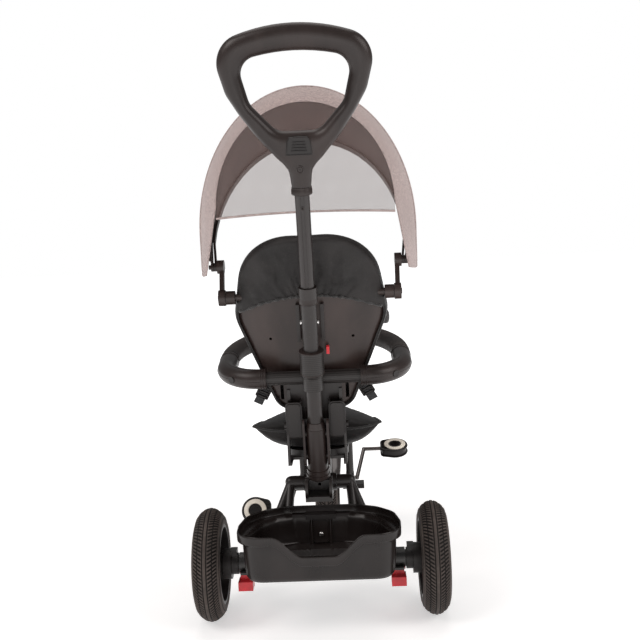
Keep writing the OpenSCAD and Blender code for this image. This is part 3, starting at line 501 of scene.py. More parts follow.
class TricycleColours(bpy.types.PropertyGroup):
    """Colours of the mouldings, paints and cloths"""

    moulding: shade("Brown moulding", "Handle, elbows, socket and collar", (0.0170, 0.0105, 0.0092))
    shell: shade("Seat shell", "Backrest shell, arms and pegs", (0.0270, 0.0172, 0.0150))
    black: shade("Black moulding", "Basket, rims, pedals and housings", (0.0085, 0.0062, 0.0058))
    paint: shade("Frame paint", "Painted tubes of the frame", (0.0120, 0.0082, 0.0074))
    tread: shade("Tyre", "Foam rubber of the tyres", (0.047, 0.038, 0.034))
    seat: shade("Seat cloth", "Padded cover and cushion", (0.0085, 0.0072, 0.0070))
    canopy: shade("Canopy cloth", "Melange band and roof", (0.40, 0.315, 0.30))
    # The lining colour is painted shade: its dark brown stands for the shadow under the roof.
    lining: shade("Canopy lining", "Inside of the roof", (0.046, 0.029, 0.027))
    signal: shade("Red mouldings", "Brake pedals and recline lever", (0.62, 0.012, 0.022))
    pale: shade("Pale mouldings", "Pedal rings and bushes", (0.66, 0.60, 0.52))


class TricycleSizes(bpy.types.PropertyGroup):
    """Sizes of the pieces built here"""

    tread_depth: length("Tread depth", "Depth of the grooves in the tyres", 0.0022, 0, 0.004)
    tread_blocks: number("Tread blocks", "Chevrons round a rear tyre", 92, 20, 130)
    handle_thick: length(
        "Handle thickness", "Depth of the handle ring from front to back", 0.030, 0.02, 0.034
    )
    basket_wall: length("Basket wall", "Thickness of the basket", 0.0026, 0.0015, 0.004)
    piping: length("Piping", "Radius of the cushion's edge piping", 0.0021, 0.001, 0.004)
    canopy_cloth: length("Canopy cloth", "Thickness of the canopy's cloth", 0.0012, 0.0005, 0.003)
    hem_pleats: number("Hem pleats", "Gathers along the seat cover's elastic hem", 46, 10, 90)


def colours():
    """The scene's colours."""
    return bpy.context.scene.tricycle_colours


def sizes():
    """The scene's sizes."""
    return bpy.context.scene.tricycle_sizes


def toned(colour, factor, lift=0.0):
    """Colour made lighter or darker by a factor, with a lift."""
    return tuple(min(1, c * factor + lift) for c in colour)


FINISHES = {}


def finish(name):
    """A named finish, made once."""
    if name not in FINISHES:
        FINISHES[name] = MAKERS[name]()
    return FINISHES[name]


def moulded(name, colour, roughness, pebble=900, depth=0.00006, coat=0.0, scuff=0.10):
    """Injection-moulded plastic: fine spark texture, faint mould flow and rubbed patches."""
    f = Finish(name)
    fine = f.grain(pebble, 3)
    flow = f.grain(14, 3, stretch=(1, 1, 0.35))
    rub = f.grain(55, 4).above(0.54, 0.72)
    base = f.blend(toned(colour, 0.72), toned(colour, 1.55, 0.004), flow.above(0.25, 0.75))
    base = f.blend(base, toned(colour, 2.0, 0.006), rub * scuff)
    rough = roughness - 0.07 + flow * 0.10 + rub * 0.05
    bump = f.bump(fine, depth, 0.55)
    return f.done(base, rough, bump, Coat_Weight=coat, Coat_Roughness=0.3, Specular_IOR_Level=0.38)


def painted(name, colour, roughness=0.36):
    """Powder-coated tube: fine orange peel, dust in the hollows and faint scratches along it."""
    f = Finish(name)
    peel = f.grain(520, 2)
    dust = f.grain(22, 4).above(0.45, 0.8)
    scratch = f.grain(60, 3, stretch=(14, 14, 1)).above(0.63, 0.70)
    base = f.blend(colour, toned(colour, 1.9, 0.004), dust * 0.5)
    base = f.blend(base, (0.11, 0.10, 0.095), scratch * 0.25)
    rough = roughness + dust * 0.12 + scratch * 0.1
    return f.done(base, rough, f.bump(peel, 0.00010, 0.5), Specular_IOR_Level=0.5)


def bright_steel(name="bright steel", colour=(0.52, 0.51, 0.50), roughness=0.28):
    """Drawn or plated steel with fine lines and dull spots."""
    f = Finish(name)
    lines = f.grain(700, 2, stretch=(0.06, 1, 1))
    spots = f.grain(40, 3).above(0.5, 0.8)
    base = f.blend(colour, toned(colour, 0.7), spots * 0.6)
    return f.done(base, roughness + lines * 0.16 - 0.06, f.bump(lines, 0.00004, 0.4), Metallic=1.0)


def tyre_rubber():
    """Foam rubber: mould bloom and dust in patches, and painted shade that darkens the grooves and
    the shoulder line, so the crown reads paler.
    """
    f = Finish("tyre rubber")
    colour = tuple(colours().tread)
    fine = f.grain(1300, 3)
    bloom = f.grain(30, 4).above(0.38, 0.72)
    dust = f.grain(240, 3).above(0.5, 0.8)
    cut = f.add("ShaderNodeAttribute", {"attribute_name": "groove"}, output=2)
    base = f.blend(toned(colour, 1.25), toned(colour, 1.95), bloom)
    base = f.blend(base, toned(colour, 2.8, 0.01), dust * 0.3)
    # painted shade: the grooves and shoulder line are painted near-black where shade falls in them
    base = f.blend(base, toned(colour, 0.16), cut.above(0.08, 0.55))
    return f.done(base, 0.62 + bloom * 0.16, f.bump(fine, 0.00012, 0.7), Specular_IOR_Level=0.2)


def seat_weave():
    """Close dark weave with a soft sheen, lint and wear."""
    f = Finish("seat weave")
    colour = tuple(colours().seat)
    x, y, z = f.axes()
    warp = (x * 4400.0).sine() * ((z - y * 0.35) * 4400.0).sine()
    lint = f.grain(380, 4).above(0.55, 0.75)
    cloud = f.grain(16, 4)
    base = f.blend(colour, toned(colour, 2.3, 0.003), cloud.above(0.35, 0.75))
    base = f.blend(base, (0.060, 0.055, 0.054), lint * 0.18)
    bump = f.bump(warp, 0.00016, 0.45)
    bump = f.bump(f.grain(120, 4), 0.0006, 0.35, below=bump)
    return f.done(
        base, 0.44 + cloud * 0.16, bump, Sheen_Weight=0.06, Sheen_Roughness=0.4,
        Specular_IOR_Level=0.32,
    )


def seat_edging():
    """Grosgrain binding and piping."""
    f = Finish("seat edging")
    x, y, z = f.axes()
    rib = ((x + z * 0.6 + y) * 3000.0).sine()
    base = f.blend((0.005, 0.0045, 0.0044), (0.018, 0.016, 0.0155), rib.above(-0.4, 1.0))
    return f.done(base, 0.55, f.bump(rib, 0.00018, 0.6), Sheen_Weight=0.3, Sheen_Roughness=0.5)


def brake_moulding():
    """Red brake lever whose upper arm is painted near-black: painted shade where the red moulding
    lies in shadow.
    """
    f = Finish("brake moulding")
    low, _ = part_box("brake_pedal_left")
    z = f.axes()[2]
    red = tuple(colours().signal)
    fine = f.grain(500, 3)
    flow = f.grain(30, 3).above(0.3, 0.7)
    tread = f.blend(toned(red, 0.75), toned(red, 1.2), flow)
    # painted shade: this near-black colour, used above a height on the red lever, stands for its
    # shadowed upper part
    arm = f.blend((0.007, 0.0062, 0.006), (0.016, 0.014, 0.0135), flow)
    base = f.blend(tread, arm, z.above(low.z + 0.0235, low.z + 0.0245))
    return f.done(
        base, 0.3 + flow * 0.06, f.bump(fine, 0.00003, 0.5), Coat_Weight=0.2, Coat_Roughness=0.3
    )


def webbing():
    """Ribbed harness webbing with a fuzzy edge."""
    f = Finish("webbing")
    _, y, z = f.axes()
    rib = ((z * 0.9 + y * 0.5) * 2600.0).sine()
    edge = f.grain(260, 3)
    base = f.blend((0.005, 0.005, 0.006), (0.022, 0.022, 0.025), rib.above(-0.5, 1.0))
    base = f.blend(base, (0.05, 0.05, 0.055), edge.above(0.6, 0.8) * 0.3)
    return f.done(base, 0.6, f.bump(rib, 0.0002, 0.6), Sheen_Weight=0.2, Sheen_Roughness=0.5)


def melange():
    """Taupe melange: pale and dark fibres mixed in short streaks over a plain weave."""
    f = Finish("melange cloth")
    colour = tuple(colours().canopy)
    x, y, z = f.axes()
    across = f.grain(900, 2, stretch=(0.22, 1, 1))
    upwards = f.grain(900, 2, stretch=(1, 1, 0.22))
    fleck = across * 0.5 + upwards * 0.5
    cloud = f.grain(9, 3)
    base = f.blend(toned(colour, 0.60), toned(colour, 1.34), fleck.above(0.34, 0.66))
    base = f.blend(base, toned(colour, 0.86), cloud.above(0.4, 0.75) * 0.5)
    weave = (x * 3600.0).sine() * ((z + y) * 3600.0).sine()
    bump = f.bump(weave, 0.00014, 0.5)
    bump = f.bump(f.grain(60, 3), 0.0007, 0.3, below=bump)
    return f.done(base, 0.86, bump, Sheen_Weight=0.25, Sheen_Roughness=0.6)


def shaded_lining_cloth():
    """Plain weave inside the roof, its dark colour painted shade for the shadowed underside of the
    roof.
    """
    f = Finish("roof lining with painted shade")
    colour = tuple(colours().lining)
    x, y, z = f.axes()
    weave = (x * 3600.0).sine() * ((z + y) * 3600.0).sine()
    cloud = f.grain(12, 4)
    base = f.blend(toned(colour, 0.7), toned(colour, 1.7), cloud.above(0.3, 0.7))
    return f.done(base, 0.75, f.bump(weave, 0.00014, 0.5), Sheen_Weight=0.15, Sheen_Roughness=0.5)


NET_PITCH = 0.0034


def window_net():
    """Knitted net: round holes between thin taupe-brown yarns."""
    f = Finish("window net")
    x, _, z = f.axes()
    pitch = 2 * math.pi / NET_PITCH
    row = (x * pitch).sine()
    col = (z * pitch * 1.02).sine()
    yarn = (row * row + col * col).above(0.42, 0.62)
    base = f.blend((0.10, 0.066, 0.060), (0.24, 0.17, 0.155), f.grain(500, 2))
    alpha = 0.05 + yarn * 0.36
    return f.done(base, 0.8, f.bump(yarn, 0.0002, 0.5), Alpha=alpha)


def foam_cover():
    """Soft padded cover of the guard ring: fine pebble and a faint bloom."""
    f = Finish("foam cover")
    fine = f.grain(700, 3)
    cloud = f.grain(18, 4)
    base = f.blend((0.020, 0.0155, 0.0145), (0.046, 0.036, 0.033), cloud.above(0.3, 0.72))
    return f.done(base, 0.50 + cloud * 0.14, f.bump(fine, 0.0002, 0.6), Specular_IOR_Level=0.25)


def striped_bar():
    """Plain bar of the guard ring: drawn tube with fine lines along it."""
    f = Finish("striped bar")
    z = f.axes()[2]
    turn = (z * 1900.0).sine().above(0.35, 0.9)
    lines = f.grain(900, 2, stretch=(0.03, 1, 1))
    base = f.blend((0.013, 0.011, 0.0105), (0.050, 0.044, 0.042), turn * 0.55 + lines * 0.2)
    return f.done(base, 0.30 + lines * 0.16, f.bump(turn, 0.0002, 0.5), Specular_IOR_Level=0.35)


MAKERS = {
    "brown moulding": lambda: moulded("brown moulding", tuple(colours().moulding), 0.36),
    "shell moulding": lambda: moulded("shell moulding", tuple(colours().shell), 0.33),
    "black moulding": lambda: moulded("black moulding", tuple(colours().black), 0.40),
    "basket moulding": lambda: moulded(
        "basket moulding", (0.0105, 0.0072, 0.0065), 0.30, 700, scuff=0.03
    ),
    "gloss fender": lambda: moulded(
        "gloss fender", (0.022, 0.015, 0.0135), 0.16, 300, 0.00002, coat=0.6
    ),
    "red moulding": lambda: moulded(
        "red moulding", tuple(colours().signal), 0.26, 500, 0.00003, coat=0.3
    ),
    "pale moulding": lambda: moulded(
        "pale moulding", tuple(colours().pale), 0.34, 500, 0.00004, coat=0.2, scuff=0.03
    ),
    "frame paint": lambda: painted("frame paint", tuple(colours().paint)),
    "upper tube paint": lambda: painted("upper tube paint", (0.0145, 0.0100, 0.0092), 0.30),
    "bright steel": bright_steel,
    "brake moulding": brake_moulding,
    "crank plating": lambda: bright_steel("crank plating", (0.12, 0.11, 0.105), 0.24),
    "rivet steel": lambda: bright_steel("rivet steel", (0.62, 0.61, 0.60), 0.2),
    "tyre rubber": tyre_rubber,
    "rim edge": lambda: moulded("rim edge", (0.16, 0.14, 0.13), 0.4, 600, 0.00004),
    "grip rubber": lambda: moulded("grip rubber", (0.045, 0.042, 0.042), 0.62, 1000, 0.0001),
    "seat weave": seat_weave,
    "seat edging": seat_edging,
    "webbing": webbing,
    "melange cloth": melange,
    "roof lining with painted shade": shaded_lining_cloth,
    "window net": window_net,
    "foam cover": foam_cover,
    "striped bar": striped_bar,
}

FRAME_FINISHES = {
    "frame paint": "main_frame fold_yoke rear_frame fork seat_post pole_tube"
    " back_bracket handlebar seat_hinge_pin",
    "upper tube paint": "upper_tube",
    "bright steel": "axle_shaft fold_pin headset_bushes",
    "rivet steel": "pole_lock_pin",
    "crank plating": "cranks",
    "brown moulding": "guard_elbows lock_collar pole_socket rear_rib front_rib",
    "shell moulding": "back_shell canopy_arms canopy_pegs",
    "black moulding": "basket_clip footrest_left footrest_right seat_pan brake_housings"
    " rear_cap_left rear_cap_right guard_button_left guard_button_right"
    " height_button rear_rim_left rear_rim_right front_rim pedal_left pedal_right",
    "gloss fender": "fender",
    "brake moulding": "brake_pedal_left brake_pedal_right",
    "red moulding": "recline_lever",
    "pale moulding": "rear_bush_left rear_bush_right pedal_ring_left pedal_ring_right",
    "striped bar": "guard_bar",
}


# ---- wheels ----

def tread_cut(phase, side):
    """Depth of a groove, 0 to 1, by place in a block and degrees from the crown."""
    lean = (phase + side / 26) % 1.0
    chevron = ridge(lean, 0.5, 0.40) * smooth(side, 11, 15) * (1 - smooth(side, 54, 62))
    crossed = 0.8 * ridge(side, 33, 3.2) + 0.9 * ridge(side, 57, 3.0)
    return clamp(max(chevron, ridge(side, 9.5, 3.4), crossed))


TYRE_WALL = 30.2
BLOCK_STEPS = 6


def tyre(name, node, hub, radius, blocks, body):
    """Tyre with a centre rib, chevron blocks, a shoulder line and a bead at the rim."""
    half = TYRE_W / 2 / MM
    outer = radius / MM
    seat = outer - TYRE_WALL
    depth = sizes().tread_depth / MM
    steps = 48
    reach = math.acos((seat + 0.8 - outer + half) / half)
    around = blocks * BLOCK_STEPS
    rows, groove_shade_mask = [], []
    for k in range(around):
        turn = 2 * math.pi * k / around
        row = []
        for j in range(steps + 1):
            a = mix(-reach, reach, j / steps)
            side = abs(math.degrees(a))
            groove = tread_cut(k / BLOCK_STEPS % 1.0, side)
            lip = 0.5 * ridge(side, 68, 4) + 0.7 * ridge(side, 84, 4) - 0.6 * ridge(side, 76, 4)
            swell = half * (1 - 0.02 * ridge(side, 40, 30)) - 0.5 * smooth(side, 2, 20)
            r = swell - depth * groove + lip
            row.append((outer - half + r * math.cos(a), r * math.sin(a)))
            # this mask marks the grooves and the shoulder line for painted shade in the rubber's
            # colour
            groove_shade_mask.append(max(groove, 0.7 * ridge(side, 76, 5)))
        row += [(seat - 0.4, half * 0.62), (seat, 0), (seat - 0.4, -half * 0.62)]
        groove_shade_mask += [0.0, 0.0, 0.0]
        spoke = Vector((0, math.cos(turn) * MM, math.sin(turn) * MM))
        rows.append([hub + Vector((x * MM, 0, 0)) + spoke * y for y, x in row])
    points, faces = grid(rows, around=True, loop=True)
    obj = piece(name, points, faces, body, finish("tyre rubber"), node, 60)
    layer = obj.data.attributes.new("groove", "FLOAT", "POINT")
    for item, value in zip(layer.data, groove_shade_mask):
        item.value = value
    return obj


def wheel_trim(name, hub, seat, body):
    """Bead rings on the outer and inner faces of a wheel."""
    parts = []
    for face in (-1, 1):
        x = hub.x / MM + face * 21.4
        path = [
            Vector((x * MM, hub.y, hub.z)) + Vector((0, math.cos(a), math.sin(a))) * (seat * MM)
            for a in (2 * math.pi * k / 72 for k in range(72))
        ]
        parts.append(tube(path, 0.0019, 8, closed=True, hint=Vector((1, 0, 0))))
    points, faces = join(*parts)
    return piece(name, points, faces, body, finish("rim edge"), None, 60)


def hub_rings():
    """Raised rings on both faces of each rear hub."""
    profile = [(-0.6, 20), (0.5, 20), (1.0, 19.2), (1.0, 17.2), (0.2, 16.6), (-0.6, 16.6)]
    for name in ("left", "right"):
        hub = middle("rear_tyre_" + name)
        rings = []
        for face in (-1, 1):
            out = Vector((face, 0, 0))
            rings.append(turned_solid(hub + out * 0.0196, out, profile, 48))
        points, faces = join(*rings)
        piece("hub_ring_" + name, points, faces, "rear_wheel_" + name,
              finish("black moulding"), None, 40)


# ---- handle ----

HANDLE_TOP = 847
HANDLE_HALF = 119
HANDLE_END_R = 46
HANDLE_MID = (0, 752)
NECK_TURN = 48
NECK = 592


def handle_outlines():
    """Outer outline with the neck and the hand opening, in the pole's x and up frame."""
    end = HANDLE_HALF - HANDLE_END_R
    bow = [(x, HANDLE_TOP - HANDLE_END_R - x * x / 444, HANDLE_END_R)
           for x in (0, 12, 24, 36, 48, 60, end)]
    ring_line = hull_of(mirrored(
        *bow, (66, 762, 46), (52, 738, 46), (30, 706, 46), (46, NECK + 75, 9)
    ))
    hole = hull_of(mirrored(
        *((x, 779 - x * x / 520, 27) for x in (0, 14, 28, 42, 56)), (41, 745, 35), (20, 713, 29)
    ))
    side = [(16.5, 0), (16.5, 18), (19, 30), (26, 40), (36, 50), (58, 76), (44, 100)]
    neck = [(-x, NECK + up) for x, up in reversed(side)] + [(x, NECK + up) for x, up in side]
    return ring_line, hole, neck


def push_handle():
    """D-shaped handle ring, round in section, running down into a flat-faced neck."""
    ring_line, hole, neck = handle_outlines()
    flat = lambda a, b: abs(a[1] - NECK) < 0.01 and abs(b[1] - NECK) < 0.01
    half_t = sizes().handle_thick / 2 / MM
    ring_part, neck_part = 150, 90
    angles = [-90 + NECK_TURN + (360 - 2 * NECK_TURN) * k / ring_part for k in range(ring_part)]
    angles += [-90 - NECK_TURN + 2 * NECK_TURN * k / neck_part for k in range(neck_part)]
    across = 20
    rows = []
    for a in map(math.radians, angles):
        inner = ray_reach(hole, HANDLE_MID, a)
        reach = ray_reach(ring_line, HANDLE_MID, a)
        if math.sin(a) < 0:
            reach = max(reach, ray_reach(neck, HANDLE_MID, a))
        front, back = [], []
        for j in range(across + 1):
            w = 0.5 - 0.5 * math.cos(math.pi * j / across)
            d = mix(inner, reach, w)
            x, up = HANDLE_MID[0] + d * math.cos(a), HANDLE_MID[1] + d * math.sin(a)
            rim = min(edge_distance((x, up), hole), depth_within((x, up), ring_line, neck, flat))
            ring_r = min(half_t + 6, (reach - inner) / 2)
            t = clamp(rim / ring_r)
            h = half_t * math.sqrt(max(0.0, 1 - (1 - t) ** 2.05))
            front.append(pole(x, h, up))
            back.append(pole(x, -h, up))
        rows.append(front + back[-2:0:-1])
    points, faces = grid(rows, around=True, loop=True)
    return piece(
        "push_handle_ring", points, faces, "upper_pole",
        finish("brown moulding"), "push_handle", 50,
    )


def inside(point, outline):
    """Whether a point lies within a closed outline."""
    x, y = point
    odd = False
    for k, (ax, ay) in enumerate(outline):
        bx, by = outline[(k + 1) % len(outline)]
        if (ay > y) != (by > y) and x < ax + (y - ay) * (bx - ax) / (by - ay):
            odd = not odd
    return odd


def depth_within(point, ring_line, neck, flat):
    """Distance to the outside of the ring and neck together."""
    return max(
        edge_distance(point, ring_line) if inside(point, ring_line) else 0.0,
        edge_distance(point, neck, flat) if inside(point, neck) else 0.0,
    )


def screw_boss(name, centre, axis, body, radius=5.0, proud=1.6):
    """Raised round boss with a recessed cross-head screw."""
    axis = axis.normalized()
    wall = ((-0.5, 0), (0, 0.6), (0, 1.4), (-0.9, 1.8), (-0.9, radius))
    wall = [(-1, radius)] + [(proud + along, radius - r) for along, r in wall]
    rim = turned_solid(centre, axis, wall, 32)
    dome = ((-1.2, 2.0), (-0.2, 2.2), (0.05, 3.2), (0.1, radius))
    dome = [(proud + along, radius - r) for along, r in dome]
    head_part = turned_solid(centre, axis, dome, 24)
    side = axis.orthogonal().normalized()
    up = axis.cross(side)
    slots = []
    for one, two in ((side, up), (up, side)):
        def place(x, y, h, one=one, two=two):
            """Point on the boss's face, h above it."""
            return centre + (one * x + two * y + axis * h) * MM

        slots.append(
            plate(slab((radius * 0.62, 0.9), 0.2), place, proud - 0.3, proud + 0.22, 0.1, 1)
        )
    points, faces = join(rim, head_part)
    body_piece = piece(
        name, points, faces, body, finish("brown moulding"), None, 35
    )
    points, faces = join(*slots)
    piece(name + "_slot", points, faces, body, finish("black moulding"), None, 35)
    return body_piece


def handle_trim():
    """Collar at the handle's foot, the rounded press tab, its thumb ridges and two screw bosses."""
    place = lambda x, y, h: pole(x, -h, y)
    side = [(21, 57), (20.4, 62), (18.6, 78), (15, 85.5)]
    tab = [(-21, NECK + 57)] + [(x, NECK + up) for x, up in side]
    tab += [(0, NECK + 86.4)] + [(-x, NECK + up) for x, up in side[:0:-1]]
    parts = [plate(tab, place, 9.6, 17.6, 1.6, 3)]
    for k in range(4):
        y = NECK + 63.5 + 4.6 * k
        parts.append(
            plate(
                [(x, y + v) for x, v in slab((25 - 1.6 * k, 1.5), 0.7)], place, 17.2, 18.3, 0.4, 2
            )
        )
    points, faces = join(*parts)
    piece(
        "height_tab", points, faces, "height_button_body",
        finish("black moulding"), "height_button", 35,
    )
    collar = [(0, 14.2), (0, 16.2), (1.0, 17.0), (8, 17.0), (9, 16.4), (12, 16.2)]
    points, faces = turned_solid(pole(0, 0, NECK - 9), POLE_UP, collar, 56)
    piece(
        "handle_foot_ring", points, faces, "upper_pole",
        finish("brown moulding"), None, 35,
    )
    screw_boss("handle_screw", pole(0, -15.0, NECK + 34), -POLE_OUT, "upper_pole", 6.2)
    screw_boss("tube_screw", pole(0, -11.2, NECK - 30), -POLE_OUT, "upper_pole", 2.9, 1.0)


# ---- basket ----

BASKET_TOP = 186
BASKET_FLOOR = 104
BASKET_HALF = 141
BASKET_MID = (0, -50)
WALL_LOW, LIP_LOW = 125, 170


def basket_outline(inset):
    """Outline of the basket drawn in by an inset, wide at the near side and narrow at the axle."""
    half = BASKET_HALF
    far = min(inset, 28)
    return hull_of(mirrored(
        (half - 46, -86, 45 - min(inset, 44) * 0.4),
        (half - 33 - inset, -62, 33),
        (half - 44 - inset * 0.9, -38, 38 - far * 0.2),
        (half - 60 - inset * 0.8, -18, 36 - far * 0.3),
        (half - 85 - inset * 0.5, 2, 30 - far * 0.5),
    ))


def basket():
    """Storage basket: rolled lip that dips at the near side, drawn walls and a stepped floor."""
    around = 240
    layers = [
        (4.6, 186), (2.4, 187.2), (0.6, 186.4), (0, 184.5), (0, 179), (0.3, 174.5), (1.4, 172),
        (4, 171), (10, 170.6), (18, 170.2), (21.6, 169), (23, 166), (23.4, 160), (24.4, 150),
        (25.6, 140), (27, 130), (28.6, 122), (30.4, 115), (33.4, 110), (38, 106.4), (45, 104.6),
        (52, BASKET_FLOOR),
    ]
    rows = []
    for inset, z in layers:
        outline = basket_outline(inset)
        row = []
        for k in range(around):
            a = 2 * math.pi * (k + 0.5) / around
            d = ray_reach(outline, BASKET_MID, a)
            x, y = BASKET_MID[0] + d * math.cos(a), BASKET_MID[1] + d * math.sin(a)
            row.append(basket_point(x, y, z))
        rows.append(row)
    last = [(p.x / MM, (p.y - REAR_AXLE.y) / MM) for p in rows[-1]]
    for k in range(1, 15):
        t = 1 - k / 15
        rows.append([
            basket_point(mix(0, x, t), mix(BASKET_MID[1], y, t), BASKET_FLOOR) for x, y in last
        ])
    points, faces = grid(rows, around=True)
    faces.append(tuple((len(rows) - 1) * around + c for c in range(around)))
    obj = piece("storage_basket", points, faces, "rear_axle",
                finish("basket moulding"), "basket", 45)
    return thicken(obj, sizes().basket_wall)


def basket_point(x, y, z):
    """Point of the basket's skin: the near rim dips, and the floor steps up over the axle."""
    near = smooth(-y, 40, 95)
    dip = 36 * (1 - smooth(abs(x), 26, 80)) * near
    dip -= 6 * smooth(y, -80, 5)
    top = BASKET_TOP - dip
    if z >= LIP_LOW:
        z -= dip
    elif z > WALL_LOW:
        z = WALL_LOW + (z - WALL_LOW) * (top - WALL_LOW) / (BASKET_TOP - WALL_LOW)
    step = WALL_LOW + 0.5 + (z - BASKET_FLOOR) * 0.5
    if z < step:
        z = mix(z, step, smooth(y, -27, -19.5))
    return lay(x, y, z)


def basket_trim():
    """Centre panel between two ribs on the far wall, with its screw."""
    parts = []
    for x in (-17, 17):
        parts.append(
            tube([lay(x, mix(9, 15, (z - 128) / 50), z) for z in range(128, 180, 5)], 0.0030, 10)
        )
    middle_rib = [(x, 152 + y) for x, y in slab((30, 46), 6)]
    parts.append(plate(middle_rib, lambda x, y, h: lay(x, 16 - h, y), 0, 8, 2.0, 3))
    points, faces = join(*parts)
    piece(
        "basket_ribs", points, faces, "rear_axle", finish("basket moulding"),
        None, 40,
    )
    dome = [(-2, 4.4), (0.6, 4.4), (1.8, 3.4), (2.2, 1.6), (2.2, 0)]
    points, faces = turned_solid(lay(0, 8, 146), Vector((0, -1, 0)), dome, 32)
    piece(
        "basket_screw", points, faces, "rear_axle", finish("rivet steel"), None, 40
    )


# ---- seat ----

BACK_MID = (0, 330)
CURVE = 230
BACK_GAP = 40
FRONT_WALL, HOOD_WALL, HEM_WALL, EDGE_WALL = CURVE - 27, CURVE + 2.4, CURVE + 3.4, CURVE + 4.5
HEM_ARCH_R, HEM_ARCH_MID = 213, 183
TURN_OVER, HEM_EASE, HOOD_RISE = 7, 12, 60


def back_outline(grow):
    """Outline of the backrest, grown by a margin."""
    return hull_of(mirrored(
        (25, 396, 95 + grow), (89, 350, 40 + grow), (46, 207, 24 + grow)
    ))


def back_depth(x, radius):
    """How far forwards of the pole a wall of the bucket stands at x."""
    x = min(abs(x), 150)
    return BACK_GAP + CURVE - math.sqrt(radius * radius - x * x)


def on_back(angle, distance):
    """Point of the back's plane at a distance from its middle."""
    return BACK_MID[0] + distance * math.cos(angle), BACK_MID[1] + distance * math.sin(angle)


def pleat_wave(angle):
    """Gathers along the hood's elastic hem, -1 to 1."""
    return math.cos(angle * sizes().hem_pleats + 2.2 * math.sin(angle * 7))


def seat_cover():
    """Padded cover: stitched front, rolled edge, and a hood behind with a gathered hem."""
    outline = back_outline(5)
    around = 300
    rows = [[] for _ in range(47)]
    for k in range(around):
        a = 2 * math.pi * k / around
        reach = ray_reach(outline, BACK_MID, a)
        hem = hem_reach(a, reach)
        column = []
        for j in range(22):
            t = j / 21 * 0.96
            x, up = on_back(a, reach * t)
            channel = 3.0 * ridge(abs(x), 62, 7) * (1 - smooth(t, 0.8, 1))
            puff = 3.2 * (1 - t ** 4) - channel - 2.4 * ridge(t, 0.86, 0.06)
            lump = 1.6 * noise.noise(Vector((x * 0.02, up * 0.02, 3.1)))
            column.append((x, back_depth(x, FRONT_WALL) + puff + lump, up))
        for j in range(9):
            turn = math.pi * (j + 1) / 10
            t = 0.96 + 0.04 * math.sin(turn)
            x, up = on_back(a, reach * t)
            inner, outer = back_depth(x, FRONT_WALL), back_depth(x, EDGE_WALL)
            column.append((x, mix(inner, outer, 0.5 - 0.5 * math.cos(turn)), up))
        for j in range(16):
            s = j / 15
            t = mix(0.955, hem / reach, s)
            x, up = on_back(a, reach * t)
            hood = clamp((reach - hem) / HOOD_RISE)
            gather = smooth(s, 0.45, 1.0) * hood
            wave = pleat_wave(a) * (0.6 + 0.5 * noise.noise(Vector((a * 3, 1, 0))))
            fan = noise.noise(Vector((a * 5.5, up * 0.008, 4))) * (1 - ridge(abs(x), 0, 60) * 0.6)
            broad = noise.noise(Vector((x * 0.028, up * 0.05, 7)))
            fine = noise.noise(Vector((x * 0.09, up * 0.05, 2)))
            crease = broad * 3.8 + fine * 1.8 + fan * 4.2
            lift = 1.6 * wave * gather + crease * (0.35 + 0.65 * math.sin(math.pi * s))
            crown = 2.6 * math.sin(math.pi * min(1, s * 1.2))
            proud = 1.4 + hood * (crown + lift + pocket_welt(x, up))
            column.append((x, back_depth(x, HOOD_WALL) - max(0.2, proud), up))
        for j, (x, out, up) in enumerate(column):
            rows[j].append(pole(x, out, up))
    points, faces = grid(rows, around=True)
    faces.append(tuple(range(around))[::-1])
    obj = piece(
        "seat_cover", points, faces, "backrest", finish("seat weave"),
        "back_cover", 180,
    )
    thicken(obj, 0.0012, 1.0)
    hem_line = []
    for k in range(around):
        a = 2 * math.pi * k / around - math.pi / 2
        reach = ray_reach(outline, BACK_MID, a)
        r = hem_reach(a, reach)
        if reach - r < TURN_OVER + 2:
            continue
        x, up = on_back(a, r)
        ripple = 0.9 * pleat_wave(a) * clamp((reach - r) / HOOD_RISE)
        hem_line.append(pole(x, back_depth(x, HEM_WALL) - 1.2 - ripple, up))

    def puckered(t, _):
        """Radius of the elastic's casing, puckered along it."""
        return 0.0021 + 0.0007 * math.cos(t * 2 * math.pi * 110)

    points, faces = tube(hem_line, puckered, 10, hint=POLE_OUT)
    piece(
        "seat_cover_hem", points, faces, "backrest", finish("seat edging"), None, 180
    )


def hem_reach(angle, reach):
    """Distance from the back's middle to the hood's hem, or to the turn-over lower down."""
    drop = BACK_MID[1] - HEM_ARCH_MID
    rise = drop * math.sin(angle)
    arch_reach = math.sqrt(max(0.0, rise * rise + HEM_ARCH_R ** 2 - drop ** 2)) - rise
    narrow = reach - TURN_OVER
    return mix(arch_reach, narrow, smooth(arch_reach, narrow - HEM_EASE, narrow))


def pocket_welt(x, up):
    """Raised welt round the pocket on the hood."""
    half_x, low, high, reach = 58, 420, 464, 1.5
    gaps = []
    if low - reach < up < high + reach:
        gaps.append(abs(abs(x) - half_x))
    if abs(x) < half_x + reach:
        gaps += [abs(up - low), abs(up - high)]
    return 2.6 * max((1 - smooth(gap, 0.6, 3.0) for gap in gaps), default=0.0)


